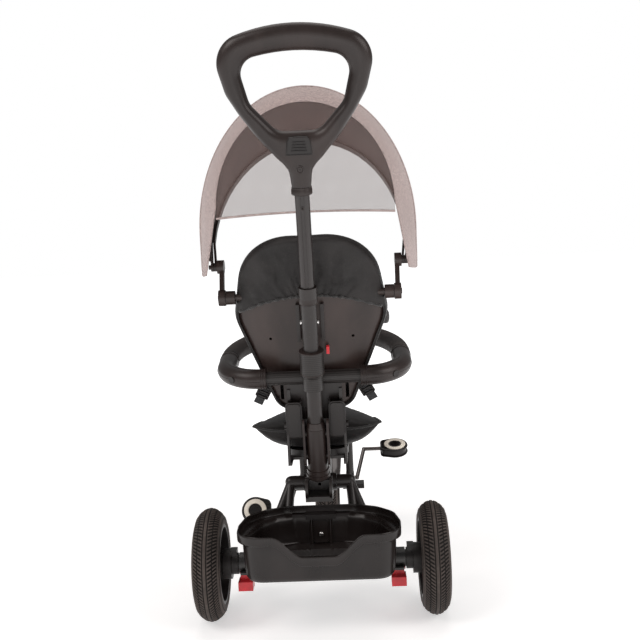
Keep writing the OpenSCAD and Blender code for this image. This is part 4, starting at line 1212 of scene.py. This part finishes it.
def seat_cushion():
    """Cushion: crowned on both faces, drawn in between its corners, with a piped seam."""
    low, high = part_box("seat_cushion")
    half_x, half_y = (high.x - low.x) / 2, (high.y - low.y) / 2
    cx, cy = (low.x + high.x) / 2, (low.y + high.y) / 2
    base = low.z + 0.001
    count = 44

    def spot(u, v):
        """Place of the seam's plane at u across and v along, each -1 to 1."""
        draw = 0.10
        x = u * (1 - draw * (1 - v * v) * (u * u)) * (1 - 0.34 * smooth(v, -0.35, 1.0))
        y = v * (1 - draw * (1 - u * u) * (v * v))
        return cx + x * half_x, cy + y * half_y

    def seam(u, v):
        """Height of the seam: the near corners curl up, and the far edge turns down."""
        curl = 0.22 * u ** 4 * (1 - smooth(v, -1, 0.4))
        return mix(low.z, high.z, 0.62 + curl - 0.34 * smooth(v, -0.4, 1))

    tops, bottoms = [], []
    for i in range(count + 1):
        u = math.sin(math.pi / 2 * (2 * i / count - 1))
        top, bottom = [], []
        for j in range(count + 1):
            v = math.sin(math.pi / 2 * (2 * j / count - 1))
            x, y = spot(u, v)
            crown = (1 - abs(u) ** 3.0) ** 0.75 * (1 - v ** 4) ** 0.5
            seam_z = seam(u, v)
            sewn = 0.12 * ridge(abs(u), 0.36, 0.06) * (1 - smooth(abs(v), 0.7, 0.95))
            lump = 0.05 * noise.noise(Vector((x * 30, y * 30, 1.7)))
            pucker = 0.06 * math.cos((u + v) * 34) * (1 - crown)
            rise = clamp(crown * (1 - sewn + lump + pucker))
            sink = min(1.0, crown * (1.12 + pucker * 0.5))
            top.append(Vector((x, y, mix(seam_z, high.z - 0.001, rise))))
            bottom.append(Vector((x, y, mix(seam_z, base, sink))))
        tops.append(top)
        bottoms.append(bottom)
    points, faces = join(grid(tops), grid(bottoms))
    obj = piece(
        "cushion", points, faces, "frame", finish("seat weave"), "seat_cushion", 180
    )
    sweep = [mix(-1, 1, k / 30) for k in range(30)]
    edge = [(w, -1) for w in sweep] + [(1, w) for w in sweep]
    edge += [(-w, 1) for w in sweep] + [(-1, -w) for w in sweep]
    path = [Vector((*spot(u, v), seam(u, v))) for u, v in edge]
    points, faces = tube(path, sizes().piping, 10, closed=True)
    piece("cushion_piping", points, faces, "frame", finish("seat edging"), None, 180)


def strap(name, path, width, thick, across, body, mat="webbing"):
    """Flat webbing along a path, with rounded edges; across is the way its width lies."""
    rows = []
    for k, p in enumerate(path):
        before, after = path[max(0, k - 1)], path[min(len(path) - 1, k + 1)]
        along = (after - before).normalized()
        wide = (across - along * across.dot(along)).normalized()
        up = wide.cross(along)
        w, t = width / 2 * MM, thick / 2 * MM
        under = [(-1, -0.5), (-0.97, -1), (0, -1.05), (0.97, -1), (1, -0.5)]
        section = [(w * a, t * b) for a, b in under + [(-a, -b) for a, b in under]]
        rows.append([p + wide * a + up * b for a, b in section])
    points, faces = grid(rows, around=True, ends=True)
    return piece(name, points, faces, body, finish(mat), None, 40)


def buckle(name, place, size, body):
    """Slider: rounded frame with two slots and a bar between."""
    w, h = size
    bars = [((w, 4.2), 0, dy) for dy in (-h / 2 + 2, 0, h / 2 - 2)]
    bars += [((4.2, h), dx, 0) for dx in (-w / 2 + 2, w / 2 - 2)]
    parts = []
    for bar, dx, dy in bars:
        outline = [(x + dx, y + dy) for x, y in slab(bar, 1.6)]
        parts.append(plate(outline, place, 0, 4.4, 1.2, 2))
    points, faces = join(*parts)
    return piece(name, points, faces, body, finish("black moulding"), None, 35)


def harness():
    """Shoulder straps with pads, a centre buckle, and lap adjusters at both lower corners."""
    across = Vector((1, 0, 0))
    for s, name in ((-1, "left"), (1, "right")):
        path = []
        for k in range(13):
            t = k / 12
            x = s * mix(30, 44, t)
            out = back_depth(x, FRONT_WALL) + 5.4 + 2.0 * math.sin(math.pi * t)
            path.append(pole(x, out, mix(248, 430, t)))
        strap("shoulder_strap_" + name, path, 26, 2.0, across, "backrest")
        pad_path = [p + POLE_OUT * 0.0026 for p in path[4:10]]
        pad = strap("shoulder_pad_" + name, pad_path, 42, 7, across, "backrest", "seat weave")
        lean = math.radians(28)
        centre = pole(s * 92, BACK_GAP + 19, 208)
        wide = Vector((s * math.cos(lean), 0, 0)) + POLE_UP * math.sin(lean)
        tall = POLE_UP * math.cos(lean) - Vector((s * math.sin(lean), 0, 0))

        def place(x, y, z, centre=centre, wide=wide, tall=tall):
            """Point on the adjuster, z behind it."""
            return centre + (wide * x + tall * y - POLE_OUT * z) * MM

        buckle("lap_adjuster_" + name, place, (24, 22), "backrest")
        lap = [
            centre + tall * (v * MM) + POLE_OUT * (abs(v) * 0.05 * MM)
            for v in (-26, -18, -9, 0, 9, 20)
        ]
        strap("lap_strap_" + name, lap, 17, 2.2, wide, "backrest")
    in_front = lambda x, y, z: pole(x, BACK_GAP + 36 + z, 262 + y)
    points, faces = join(
        plate(slab((48, 40), 12), in_front, 0, 11, 3, 3),
        plate(slab((20, 20), 9.5, 8), in_front, 10, 13.5, 1.6, 3),
    )
    return piece(
        "harness_buckle", points, faces, "backrest", finish("black moulding"),
        "harness", 35,
    )


# ---- canopy ----

RIB_HINGE = (16, 633)
REAR_RIB_LEAN = -4.7
FRONT_RIB_LEAN = -46.3
RIB_HALF = (186, 173)
RIB_TOP = (307, 339)
RIB_SHOULDER = 62


def arch(half, top, mid, foot_x, foot_z, steps=64):
    """Points of a rib in its own plane, right foot to left foot."""
    line = [(foot_x, foot_z), ((foot_x + half) / 2, (foot_z + mid) / 2)]
    for k in range(steps + 1):
        a = math.pi * k / steps
        line.append((half * math.cos(a), mid + (top - mid) * math.sin(a)))
    return line + [(-(foot_x + half) / 2, (foot_z + mid) / 2), (-foot_x, foot_z)]


def turned(x, up, lean):
    """Point of a rib's plane that leans by so many degrees about its hinge."""
    a = math.radians(lean)
    return lay(x, RIB_HINGE[0] - up * math.sin(a), RIB_HINGE[1] + up * math.cos(a))


def roof_row(t, out):
    """Row of the roof at t between the rear and the front rib."""
    half, top = mix(*RIB_HALF, t) + out, mix(*RIB_TOP, t) + out
    row = []
    line = arch(half, top, RIB_SHOULDER, half - 4, 14)
    for k, (x, up) in enumerate(line):
        u = k / (len(line) - 1)
        arc = math.sin(math.pi * clamp(u))
        drape = 4.0 * noise.noise(Vector((u * 7.0, t * 1.4, 4.2)))
        ripple = 2.2 * math.cos(u * 2 * math.pi * 9 + 3 * math.sin(t * 3)) * (1 - arc * 0.5)
        fold = math.sin(math.pi * t) * (5.5 * max(0.0, arc) ** 0.5 + drape + ripple)
        length_in = math.hypot(x, up - 40) or 1
        x, up = x - x / length_in * fold, up - (up - 40) / length_in * fold
        row.append(turned(x, up, mix(REAR_RIB_LEAN, FRONT_RIB_LEAN, t)))
    return row


def cut_size(rows):
    """Width and depth, and area, in metres, of the cloth that rows of points make."""
    wide = max(sum((b - a).length for a, b in zip(row, row[1:])) for row in rows)
    deep = max(sum((b - a).length for a, b in zip(line, line[1:])) for line in zip(*rows))
    area = 0.0
    for one, two in zip(rows, rows[1:]):
        for k in range(len(one) - 1):
            a, b, c, d = one[k], one[k + 1], two[k + 1], two[k]
            area += ((b - a).cross(c - a).length + (c - a).cross(d - a).length) / 2
    return (wide, deep), min(area, wide * deep)


def canopy_roof():
    """Roof sheet with soft hollows, a bound front edge, and a lining sheet under it whose dark
    colour is painted shade.
    """
    count = 26
    cloth = sizes().canopy_cloth
    rows = [roof_row(mix(0.02, 1.012, k / count), 3.4) for k in range(count + 1)]
    points, faces = grid(rows)
    top = piece(
        "canopy_roof_cloth", points, faces, None, finish("melange cloth"),
        "canopy_roof", 180,
    )
    thicken(top, cloth, 1.0)
    flat, area = cut_size(rows)
    # lining sheet under the roof, which carries the painted shade of the roof's underside
    rows = [roof_row(mix(0.03, 1.0, k / count), 1.6) for k in range(count + 1)]
    points, faces = grid(rows)
    under = piece(
        "canopy_shade_lining", points, faces, None, finish("roof lining with painted shade"), None, 180
    )
    thicken(under, cloth * 0.6, -1.0)
    flat, area = cut_size(rows)
    points, faces = tube(roof_row(1.006, 3.0), 0.0024, 10, hint=Vector((1, 0, 0)))
    piece(
        "canopy_front_binding", points, faces, "canopy_front",
        finish("roof lining with painted shade"), None, 180,
    )
    start = turned(0, 300, mix(REAR_RIB_LEAN, FRONT_RIB_LEAN, 0.06))
    end = turned(0, 330, mix(REAR_RIB_LEAN, FRONT_RIB_LEAN, 0.94))
    for cloth_piece in (top, under):
        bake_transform(cloth_piece)
    return top, under


WINDOW_LOW, WINDOW_TOP, WINDOW_HALF = 716, 912, 152
WINDOW_Y = (4, -42)
WINDOW_LEAN = math.atan2(WINDOW_Y[0] - WINDOW_Y[1], WINDOW_TOP - WINDOW_LOW)
WINDOW_H = (WINDOW_TOP - WINDOW_LOW) / math.cos(WINDOW_LEAN)
WINDOW_MID = (738 - WINDOW_LOW) / math.cos(WINDOW_LEAN)


def window_point(x, up, out=0):
    """Point of the window's plane, or out behind it."""
    a = WINDOW_LEAN
    return lay(
        x,
        WINDOW_Y[1] + up * math.sin(a) - out * math.cos(a),
        WINDOW_LOW + up * math.cos(a) + out * math.sin(a),
    )


def canopy_band():
    """Cloth band from the rear rib back to the window, with a topstitched seam at each edge."""
    half, top = RIB_HALF[0], RIB_TOP[0]
    rib = arch(half + 3, top + 3, RIB_SHOULDER, half + 2, -14)
    window = arch(WINDOW_HALF + 1, WINDOW_H + 1, WINDOW_MID, half - 15, -96)
    rib_line = [turned(x, up, REAR_RIB_LEAN) for x, up in rib]
    window_line = [window_point(x, up) for x, up in window]
    count = 16
    rows = []
    for k in range(count + 1):
        t = k / count
        row = []
        for j, (a, b) in enumerate(zip(window_line, rib_line)):
            u = j / (len(rib_line) - 1)
            p = mix(a, b, t)
            away = Vector((p.x, 0, p.z - 0.72)).normalized()
            belly = math.sin(math.pi * t) * (
                0.0030 + 0.0022 * noise.noise(Vector((u * 9, t * 2, 9.0)))
            )
            stitch = 0.0007 * (ridge(t, 0.07, 0.03) + ridge(t, 0.93, 0.03))
            row.append(p + away * (belly - stitch) - Vector((0, 0.0012, 0)) * math.sin(math.pi * t))
        rows.append(row)
    points, faces = grid(rows)
    band = piece(
        "canopy_band", points, faces, "canopy", finish("melange cloth"),
        "canopy_back", 180,
    )
    thicken(band, 0.0016, 0.0)
    flat, area = cut_size(rows)
    for name, line, r in (
        ("canopy_window_seam", window_line, 0.0015), ("canopy_rib_seam", rib_line, 0.0019)
    ):
        points, faces = tube(
            [p + Vector((0, -0.0006, 0)) for p in line], r, 8, hint=Vector((0, 1, 0))
        )
        piece(name, points, faces, "canopy", finish("melange cloth"), None, 180)
    return band


def canopy_window():
    """See-through net window, bellied a little, with its lower hem curved and bound."""
    columns, count = 48, 30
    rows = []
    for k in range(count + 1):
        v = k / count
        row = []
        for j in range(columns + 1):
            u = 2 * j / columns - 1
            low = 7 - (u * 4) ** 2 * 0.35
            up_top = WINDOW_MID + (WINDOW_H - WINDOW_MID) * math.sqrt(
                max(0.0, 1 - (u * 0.999) ** 2)
            )
            up = mix(low, up_top, v)
            belly = 2.0 * math.sin(math.pi * v) * (1 - u * u)
            row.append(window_point(u * WINDOW_HALF, up, belly))
        rows.append(row)
    points, faces = grid(rows)
    net = piece(
        "canopy_net", points, faces, "canopy", finish("window net"),
        "canopy_mesh", 180,
    )
    thicken(net, 0.0006, 0.0)
    flat, area = cut_size(rows)
    hem = [p + Vector((0, -0.0004, 0)) for p in rows[0]]
    points, faces = tube(hem, 0.0019, 8, hint=Vector((0, 1, 0)))
    piece(
        "canopy_window_hem", points, faces, "canopy", finish("melange cloth"),
        None, 180,
    )
    return net


# ---- guard ring ----

GUARD_HALF = 158
GUARD_BEND = 66
ELBOW_R = 17.5
LOOP_START = GUARD_BEND + 44


def bead_profile(low, mid, high):
    """Rounded bead on a tube, from its three radii."""
    return [(-1.1, low), (-0.8, mid), (0, high), (0.8, mid), (1.1, low)]


def guard_loop():
    """Padded front loop: soft cover over the core that slides into the elbows."""
    half, start = GUARD_HALF, LOOP_START
    ends = (0.6, 1.2, 2.2, 3.6, 6)
    path = [ring(half, start + v, 0) for v in ends]
    for a in (math.pi * k / 72 for k in range(1, 72)):
        path.append(ring(half * math.cos(a), start + ends[-1] + half * math.sin(a), 0))
    path += [ring(-half, start + v, 0) for v in reversed(ends)]
    count = len(path)

    def radius(t, a):
        """Radius of the cover: rounded at its ends, seamed underneath, and a little lumpy."""
        k = t * (count - 1)
        end = min(k, count - 1 - k)
        round_off = [13.6, 15.6, 16.8, 17.3, ELBOW_R]
        r = round_off[int(min(end, 4))]
        seam = 0.5 * ridge(a, math.pi * 1.5, 0.14)
        soft = 0.25 * noise.noise(Vector((t * 30, math.cos(a) * 1.5, math.sin(a) * 1.5)))
        ring_line = 0.55 * (ridge(end, 6, 0.7))
        return (r - seam - ring_line + soft) * MM

    points, faces = tube(path, radius, 40, hint=GUARD_UP)
    loop = piece(
        "guard_padding", points, faces, "guard", finish("foam cover"),
        "guard_loop", 180,
    )
    core = []
    for s in (-1, 1):
        core.append(
            tube(
                [ring(s * half, v, 0) for v in (74, 90, LOOP_START + 1)], 0.0119, 32, hint=GUARD_UP
            )
        )
    points, faces = join(*core)
    piece("guard_core", points, faces, "guard", finish("bright steel"), None, 40)
    return loop


def guard_trim():
    """Ribbed collars at the elbows' ends, and the elbows' moulded seams."""
    parts, seams = [], []
    for s in (-1, 1):
        for k in range(3):
            x = s * (84 + 4.2 * k)
            bead = bead_profile(17.4, 18.1, 18.35)
            parts.append(turned_solid(ring(x, 0, 0), Vector((1, 0, 0)), bead, 48))
        for v in (100, 105):
            bead = bead_profile(17.4, 18.0, 18.2)
            parts.append(turned_solid(ring(s * GUARD_HALF, v, 0), GUARD_OUT, bead, 48))
        turns = [math.pi / 2 * k / 16 for k in range(17)]
        for bend, up in ((GUARD_BEND, ELBOW_R), (GUARD_BEND + ELBOW_R, 0)):
            path = []
            for a in turns:
                x = GUARD_HALF - GUARD_BEND + bend * math.sin(a)
                path.append(ring(s * x, GUARD_BEND - bend * math.cos(a), up))
            seams.append(tube(path, 0.0005, 6, hint=GUARD_UP))
    points, faces = join(*parts, *seams)
    return piece(
        "elbow_ribs", points, faces, "pole", finish("brown moulding"), None, 40
    )


def pole_trim():
    """Groove lines of the upper tube, edges of the sleeve and socket, and the collar."""
    parts = []
    for s in (-1, 1):
        parts.append(tube([pole(s * 3.0, -11.45, v) for v in (432, 480, 530, 586)], 0.0005, 6))
    points, faces = join(*parts)
    piece(
        "upper_tube_edges", points, faces, "upper_pole",
        finish("upper tube paint"), None, 40,
    )
    rings = []
    for up, r in ((310, 20.7), (270, 20.7), (164, 18.0), (66, 18.0)):
        edge = [(-1.2, r - 0.1), (-0.9, r + 0.5), (0.5, r + 0.5), (0.9, r - 0.2)]
        rings.append(turned_solid(pole(0, 0, up), POLE_UP, edge, 56))
    points, faces = join(*rings)
    piece("pole_edges", points, faces, "pole", finish("brown moulding"), None, 40)
    collar = [
        (0, 13.3), (0, 15.2), (1.0, 16.0), (8, 16.0), (12, 15.2), (28, 15.0), (29, 14.2), (29, 13.3)
    ]
    points, faces = turned_solid(pole(0, 0, 396), POLE_UP, collar, 56)
    return piece(
        "pole_collar_skin", points, faces, "pole", finish("brown moulding"),
        None, 40,
    )


def hinge_cheeks():
    """Rounded cheek plates of the bracket that shield the seat hinge on both sides of the pole."""
    parts = []
    for s in (-1, 1):
        outline = [(s * 38 + x, 168 + y) for x, y in slab((30, 72), 8)]
        parts.append(plate(outline, lambda x, y, h: pole(x, h, y), 17.6, 21.0, 1.0, 2))
        rim = [(s * 38 + x, 168 + y) for x, y in slab((24, 66), 6)]
        parts.append(plate(rim, lambda x, y, h: pole(x, h, y), 16.6, 18.2, 0.6, 2))
        for x in (s * 25.5, s * 46.5):
            web = [(x + a, 185 + b) for a, b in slab((3, 38), 1.2)]
            parts.append(plate(web, lambda x, y, h: pole(x, h, y), 20.0, 36.0, 0.8, 2))
    points, faces = join(*parts)
    return piece(
        "hinge_cheeks", points, faces, "backrest", finish("frame paint"), None, 35
    )


# ---- pedals, grips and small parts ----

PEDAL_TILT = {"left": 62, "right": 17}
PEDAL_AT = 158


def pedal_frame(side):
    """Point maker for a pedal, in millimetres across, along it and up; and the pedal's name."""
    name = "left" if side < 0 else "right"
    joint = next(j for j in frame["joints"] if j["child"] == f"pedal_{name}_body")
    pin = Vector(joint["pos_m"])
    tilt = math.radians(PEDAL_TILT[name])
    along = Vector((0, math.cos(tilt), math.sin(tilt)))
    up = Vector((0, -math.sin(tilt), math.cos(tilt)))

    def place(x, y, z):
        """Point from millimetres in the pedal's frame."""
        return Vector((side * x * MM, pin.y, pin.z)) + along * (y * MM) + up * (z * MM)

    return place, name


def pedals():
    """D-shaped pedals: rounded body, a pale ring let into each face, and a ribbed round middle."""
    pale = [(9.4, 24.6), (11.3, 24.6), (11.9, 23.8), (11.9, 15.6), (11.3, 14.9), (9.4, 14.9)]
    round_middle = [(9, 14.3), (11.2, 14.3), (11.9, 13.6), (11.9, 12.4), (11.0, 11.8), (11.0, 0)]
    for side in (-1, 1):
        place, name = pedal_frame(side)
        outline = hull_of([(PEDAL_AT, 0, 30), (134, 14, 10), (134, -14, 10)], 40)
        points, faces = plate(outline, place, -10.4, 10.4, 3.2, 4)
        piece(
            "pedal_body_" + name, points, faces, f"pedal_{name}_body",
            finish("black moulding"), "pedal_" + name, 50,
        )
        rings, middles = [], []
        for face in (-1, 1):
            centre = place(PEDAL_AT, 0, 0)
            axis = (place(PEDAL_AT, 0, face) - centre).normalized()
            where = lambda x, y, h, face=face: place(x, y, face * h)
            rings.append(turned_solid(centre, axis, pale, 56))
            middles.append(turned_solid(centre, axis, round_middle, 48))
            for k in range(-3, 4):
                half = math.sqrt(max(1.0, 11.2 ** 2 - (3.2 * k) ** 2))
                bar = [(PEDAL_AT + x, 3.2 * k + y) for x, y in slab((2 * half, 1.5), 0.6)]
                middles.append(plate(bar, where, 10.6, 12.2, 0.5, 2))
            for k in range(5):
                bar = [(133 + x, -14 + 7 * k + y) for x, y in slab((12, 2.2), 0.9)]
                middles.append(plate(bar, where, 9.8, 11.6, 0.7, 2))
        points, faces = join(*rings)
        piece(
            "pedal_face_" + name, points, faces, f"pedal_{name}_body",
            finish("pale moulding"), "pedal_ring_" + name, 40,
        )
        points, faces = join(*middles)
        piece(
            "pedal_middle_" + name, points, faces, f"pedal_{name}_body",
            finish("black moulding"), None, 40,
        )


FENDER_R, FENDER_CROWN, FENDER_HALF = 132.5, 13.0, 37


def front_fender():
    """Glossy fender: a crowned shell round the top of the front wheel with rolled edges."""
    start, sweep, steps = math.radians(8), math.radians(164), 60
    rows = []
    for k in range(steps + 1):
        t = k / steps
        a = start + sweep * t
        taper = 1 - 0.22 * (2 * t - 1) ** 4
        row = []
        for j in range(25):
            u = 2 * j / 24 - 1
            lip = 1.6 * ridge(abs(u), 0.97, 0.07)
            r = FENDER_R + FENDER_CROWN * (1 - abs(u) ** 2.6) + lip
            arm = Vector((u * FENDER_HALF * taper, math.cos(a) * r, math.sin(a) * r))
            row.append(FRONT_HUB + arm * MM)
        rows.append(row)
    points, faces = grid(rows)
    obj = piece(
        "fender_shell", points, faces, "steering", finish("gloss fender"),
        "fender", 60,
    )
    return thicken(obj, 0.0024)


GRIP_START = 58


def grips():
    """Handlebar grips with turned ribs, an inner flange and a rounded end."""
    hub = middle("handle_grips")
    for side, name in ((-1, "left"), (1, "right")):
        flange = ((0, 11.3), (0, 18.4), (1, 19), (4, 19), (5, 18.2), (5.4, 15))
        profile = [(GRIP_START + x, r) for x, r in flange]
        x = GRIP_START + 8
        while x < 136:
            profile += [(x, 15), (x + 0.8, 15), (x + 1.2, 14.1), (x + 2.4, 14.1), (x + 2.8, 15)]
            x += 4.2
        profile += [(142, 15), (145, 14.6), (147.5, 12.6), (149.4, 8), (150, 3)]
        points, faces = turned_solid(Vector((0, hub.y, hub.z)), Vector((side, 0, 0)), profile, 40)
        piece(
            "grip_" + name, points, faces, "steering", finish("grip rubber"),
            "handle_grips", 40,
        )


# ---- stage ----

AMBIENT = 0.30
FLOOR_HALF = 14.0
LAMP_TINT = (1.0, 0.94, 0.915)
CAMERA_AT = (72.754, -1742.777, 706.709)
CAMERA_YAW, CAMERA_PITCH, CAMERA_ROLL = -0.033, 0.099, 0.045


def studio():
    """Pale floor, soft overhead and side lights, and the camera."""
    studio_floor()
    studio_lights()
    studio_camera()
    bpy.context.scene.view_settings.view_transform = "Standard"


def studio_floor():
    """Floor that glows a little more farther from the middle."""
    floor_mesh = bpy.data.meshes.new("studio_floor")
    corners = [(x * FLOOR_HALF, y * FLOOR_HALF, 0) for x, y in ((-1, -1), (1, -1), (1, 1), (-1, 1))]
    floor_mesh.from_pydata(corners, [], [(0, 1, 2, 3)])
    floor = bpy.data.objects.new("studio_floor", floor_mesh)
    bpy.context.scene.collection.objects.link(floor)
    f = Finish("studio floor")
    cloud = f.grain(1.5, 2)
    x, y, _ = f.axes()
    away = (x * x + y * y).root()
    base = f.blend((0.80, 0.80, 0.80), (0.84, 0.84, 0.84), cloud)
    glow = f.blend((0.50, 0.50, 0.50), (1.0, 1.0, 1.0), away.above(0.35, 1.6))
    floor_mesh.materials.append(f.done(base, 0.8, Emission_Color=glow, Emission_Strength=1.0))


def studio_lights():
    """White surroundings that light less than they show, and four large soft lamps."""
    scene = bpy.context.scene
    world = bpy.data.worlds.new("studio")
    world.use_nodes = True
    back = world.node_tree.nodes["Background"]
    back.inputs["Color"].default_value = (1.0, 1.0, 1.0, 1)
    seen = world.node_tree.nodes.new("ShaderNodeLightPath")
    level = world.node_tree.nodes.new("ShaderNodeMapRange")
    level.inputs["To Min"].default_value = AMBIENT
    world.node_tree.links.new(seen.outputs["Is Camera Ray"], level.inputs["Value"])
    world.node_tree.links.new(level.outputs["Result"], back.inputs["Strength"])
    scene.world = world
    lamps = (
        ("key_soft", (-2.6, -2.2, 3.4), 2.2, 62),
        ("fill_soft", (2.8, -1.8, 2.2), 2.0, 38),
        ("top_soft", (0.0, 0.6, 3.8), 2.6, 34),
        ("low_soft", (0.2, -3.0, 0.7), 1.6, 6),
    )
    for name, spot, width, power in lamps:
        lamp = bpy.data.lights.new(name, "AREA")
        lamp.shape = "SQUARE"
        lamp.size = width
        lamp.energy = power
        lamp.color = LAMP_TINT
        obj = bpy.data.objects.new(name, lamp)
        obj.location = spot
        aim = Vector((0, 0, 0.5)) - Vector(spot)
        obj.rotation_euler = aim.to_track_quat("-Z", "Y").to_euler()
        scene.collection.objects.link(obj)


def studio_camera():
    """Camera behind the tricycle, a little above it."""
    scene = bpy.context.scene
    camera_data = bpy.data.cameras.new("viewpoint")
    camera_data.lens = 56.25
    camera_data.sensor_width = 36
    camera_data.clip_end = 50
    camera = bpy.data.objects.new("viewpoint", camera_data)
    scene.collection.objects.link(camera)
    yaw, pitch, roll = CAMERA_YAW, CAMERA_PITCH, CAMERA_ROLL
    flat = Vector((math.sin(yaw), math.cos(yaw), 0))
    forward = flat * math.cos(pitch) - Vector((0, 0, math.sin(pitch)))
    right = Vector((math.cos(yaw), -math.sin(yaw), 0))
    up = right.cross(forward)
    x_axis = right * math.cos(roll) - up * math.sin(roll)
    y_axis = right * math.sin(roll) + up * math.cos(roll)
    turn = Matrix((x_axis, y_axis, -forward)).transposed().to_4x4()
    camera.matrix_world = Matrix.Translation(lay(*CAMERA_AT)) @ turn
    scene.camera = camera


def frame_finishes():
    """Gives each node of the frame that stays its finish."""
    for name, nodes in FRAME_FINISHES.items():
        for node in nodes.split():
            obj = NODES[node]
            obj.data.materials.clear()
            obj.data.materials.append(finish(name))
            for face in obj.data.polygons:
                face.material_index = 0
            obj.data.set_sharp_from_angle(angle=math.radians(32))


# ---- the add-on ----


class TRICYCLE_OT_frame(bpy.types.Operator):
    """Gives every part of the frame that stays its own finish"""

    bl_idname = "tricycle.frame"
    bl_label = "Frame finishes"

    def execute(self, context):
        frame_finishes()
        return {"FINISHED"}


class TRICYCLE_OT_tyres(bpy.types.Operator):
    """Builds the three tyres with their tread, bead rings and hub rings"""

    bl_idname = "tricycle.tyres"
    bl_label = "Tyres and hubs"

    def execute(self, context):
        blocks = sizes().tread_blocks
        tyre(
            "tyre_left", "rear_tyre_left", middle("rear_tyre_left"), REAR_R, blocks,
            "rear_wheel_left",
        )
        tyre(
            "tyre_right", "rear_tyre_right", middle("rear_tyre_right"), REAR_R, blocks,
            "rear_wheel_right",
        )
        tyre("tyre_front", "front_tyre", FRONT_HUB, FRONT_R, round(blocks * 1.25), "front_wheel")
        wheel_trim("bead_left", middle("rear_tyre_left"), 70.2, "rear_wheel_left")
        wheel_trim("bead_right", middle("rear_tyre_right"), 70.2, "rear_wheel_right")
        wheel_trim("bead_front", FRONT_HUB, 94.2, "front_wheel")
        hub_rings()
        return {"FINISHED"}


class TRICYCLE_OT_handle(bpy.types.Operator):
    """Builds the handle ring, its press tab, collar and screws"""

    bl_idname = "tricycle.handle"
    bl_label = "Push handle"

    def execute(self, context):
        push_handle()
        handle_trim()
        return {"FINISHED"}


class TRICYCLE_OT_pole(bpy.types.Operator):
    """Builds the pole's collars, edges and groove lines"""

    bl_idname = "tricycle.pole"
    bl_label = "Pole details"

    def execute(self, context):
        pole_trim()
        hinge_cheeks()
        return {"FINISHED"}


class TRICYCLE_OT_basket(bpy.types.Operator):
    """Builds the basket with its dipped lip and ribs"""

    bl_idname = "tricycle.basket"
    bl_label = "Storage basket"

    def execute(self, context):
        basket()
        basket_trim()
        return {"FINISHED"}


class TRICYCLE_OT_cover(bpy.types.Operator):
    """Builds the padded backrest cover with its gathered hem and pocket"""

    bl_idname = "tricycle.cover"
    bl_label = "Seat cover"

    def execute(self, context):
        seat_cover()
        return {"FINISHED"}


class TRICYCLE_OT_cushion(bpy.types.Operator):
    """Builds the piped seat cushion"""

    bl_idname = "tricycle.cushion"
    bl_label = "Seat cushion"

    def execute(self, context):
        seat_cushion()
        return {"FINISHED"}


class TRICYCLE_OT_harness(bpy.types.Operator):
    """Builds the straps, pads, adjusters and buckle"""

    bl_idname = "tricycle.harness"
    bl_label = "Harness"

    def execute(self, context):
        harness()
        return {"FINISHED"}


class TRICYCLE_OT_canopy(bpy.types.Operator):
    """Builds the roof, its lining, the band and the net window"""

    bl_idname = "tricycle.canopy"
    bl_label = "Sun canopy"

    def execute(self, context):
        canopy_roof()
        canopy_band()
        canopy_window()
        return {"FINISHED"}


class TRICYCLE_OT_guard(bpy.types.Operator):
    """Builds the padded loop and the elbows' ribs"""

    bl_idname = "tricycle.guard"
    bl_label = "Guard ring"

    def execute(self, context):
        guard_loop()
        guard_trim()
        return {"FINISHED"}


class TRICYCLE_OT_pedals(bpy.types.Operator):
    """Builds both pedals, the handlebar grips and the fender"""

    bl_idname = "tricycle.pedals"
    bl_label = "Pedals, grips and fender"

    def execute(self, context):
        pedals()
        grips()
        front_fender()
        return {"FINISHED"}


class TRICYCLE_OT_studio(bpy.types.Operator):
    """Builds the floor, the lights and the camera"""

    bl_idname = "tricycle.studio"
    bl_label = "Studio"

    def execute(self, context):
        studio()
        return {"FINISHED"}


STEPS = (
    "frame", "tyres", "handle", "pole", "basket", "cover",
    "cushion", "harness", "canopy", "guard", "pedals", "studio",
)


class TRICYCLE_PT_parts(bpy.types.Panel):
    """Sizes, colours and the groups of pieces"""

    bl_label = "Children's tricycle"
    bl_space_type = "VIEW_3D"
    bl_region_type = "UI"
    bl_category = "Tricycle"

    def draw(self, context):
        for group in (context.scene.tricycle_sizes, context.scene.tricycle_colours):
            box = self.layout.box()
            for key in group.bl_rna.properties.keys():
                if key not in {"rna_type", "name"}:
                    box.prop(group, key)
        for step in STEPS:
            self.layout.operator("tricycle." + step)


CLASSES = (
    TricycleColours, TricycleSizes,
    TRICYCLE_OT_frame, TRICYCLE_OT_tyres, TRICYCLE_OT_handle, TRICYCLE_OT_pole,
    TRICYCLE_OT_basket, TRICYCLE_OT_cover, TRICYCLE_OT_cushion, TRICYCLE_OT_harness,
    TRICYCLE_OT_canopy, TRICYCLE_OT_guard, TRICYCLE_OT_pedals, TRICYCLE_OT_studio,
    TRICYCLE_PT_parts,
)


def register():
    """Registers the classes and the scene's groups of sizes and colours."""
    for each in CLASSES:
        bpy.utils.register_class(each)
    bpy.types.Scene.tricycle_colours = bpy.props.PointerProperty(type=TricycleColours)
    bpy.types.Scene.tricycle_sizes = bpy.props.PointerProperty(type=TricycleSizes)


def unregister():
    """Takes the classes and groups away again."""
    del bpy.types.Scene.tricycle_colours
    del bpy.types.Scene.tricycle_sizes
    for each in reversed(CLASSES):
        bpy.utils.unregister_class(each)


def main():
    """Builds every group of pieces."""
    register()
    for step in STEPS:
        getattr(bpy.ops.tricycle, step)()


if __name__ == "__main__":
    main()
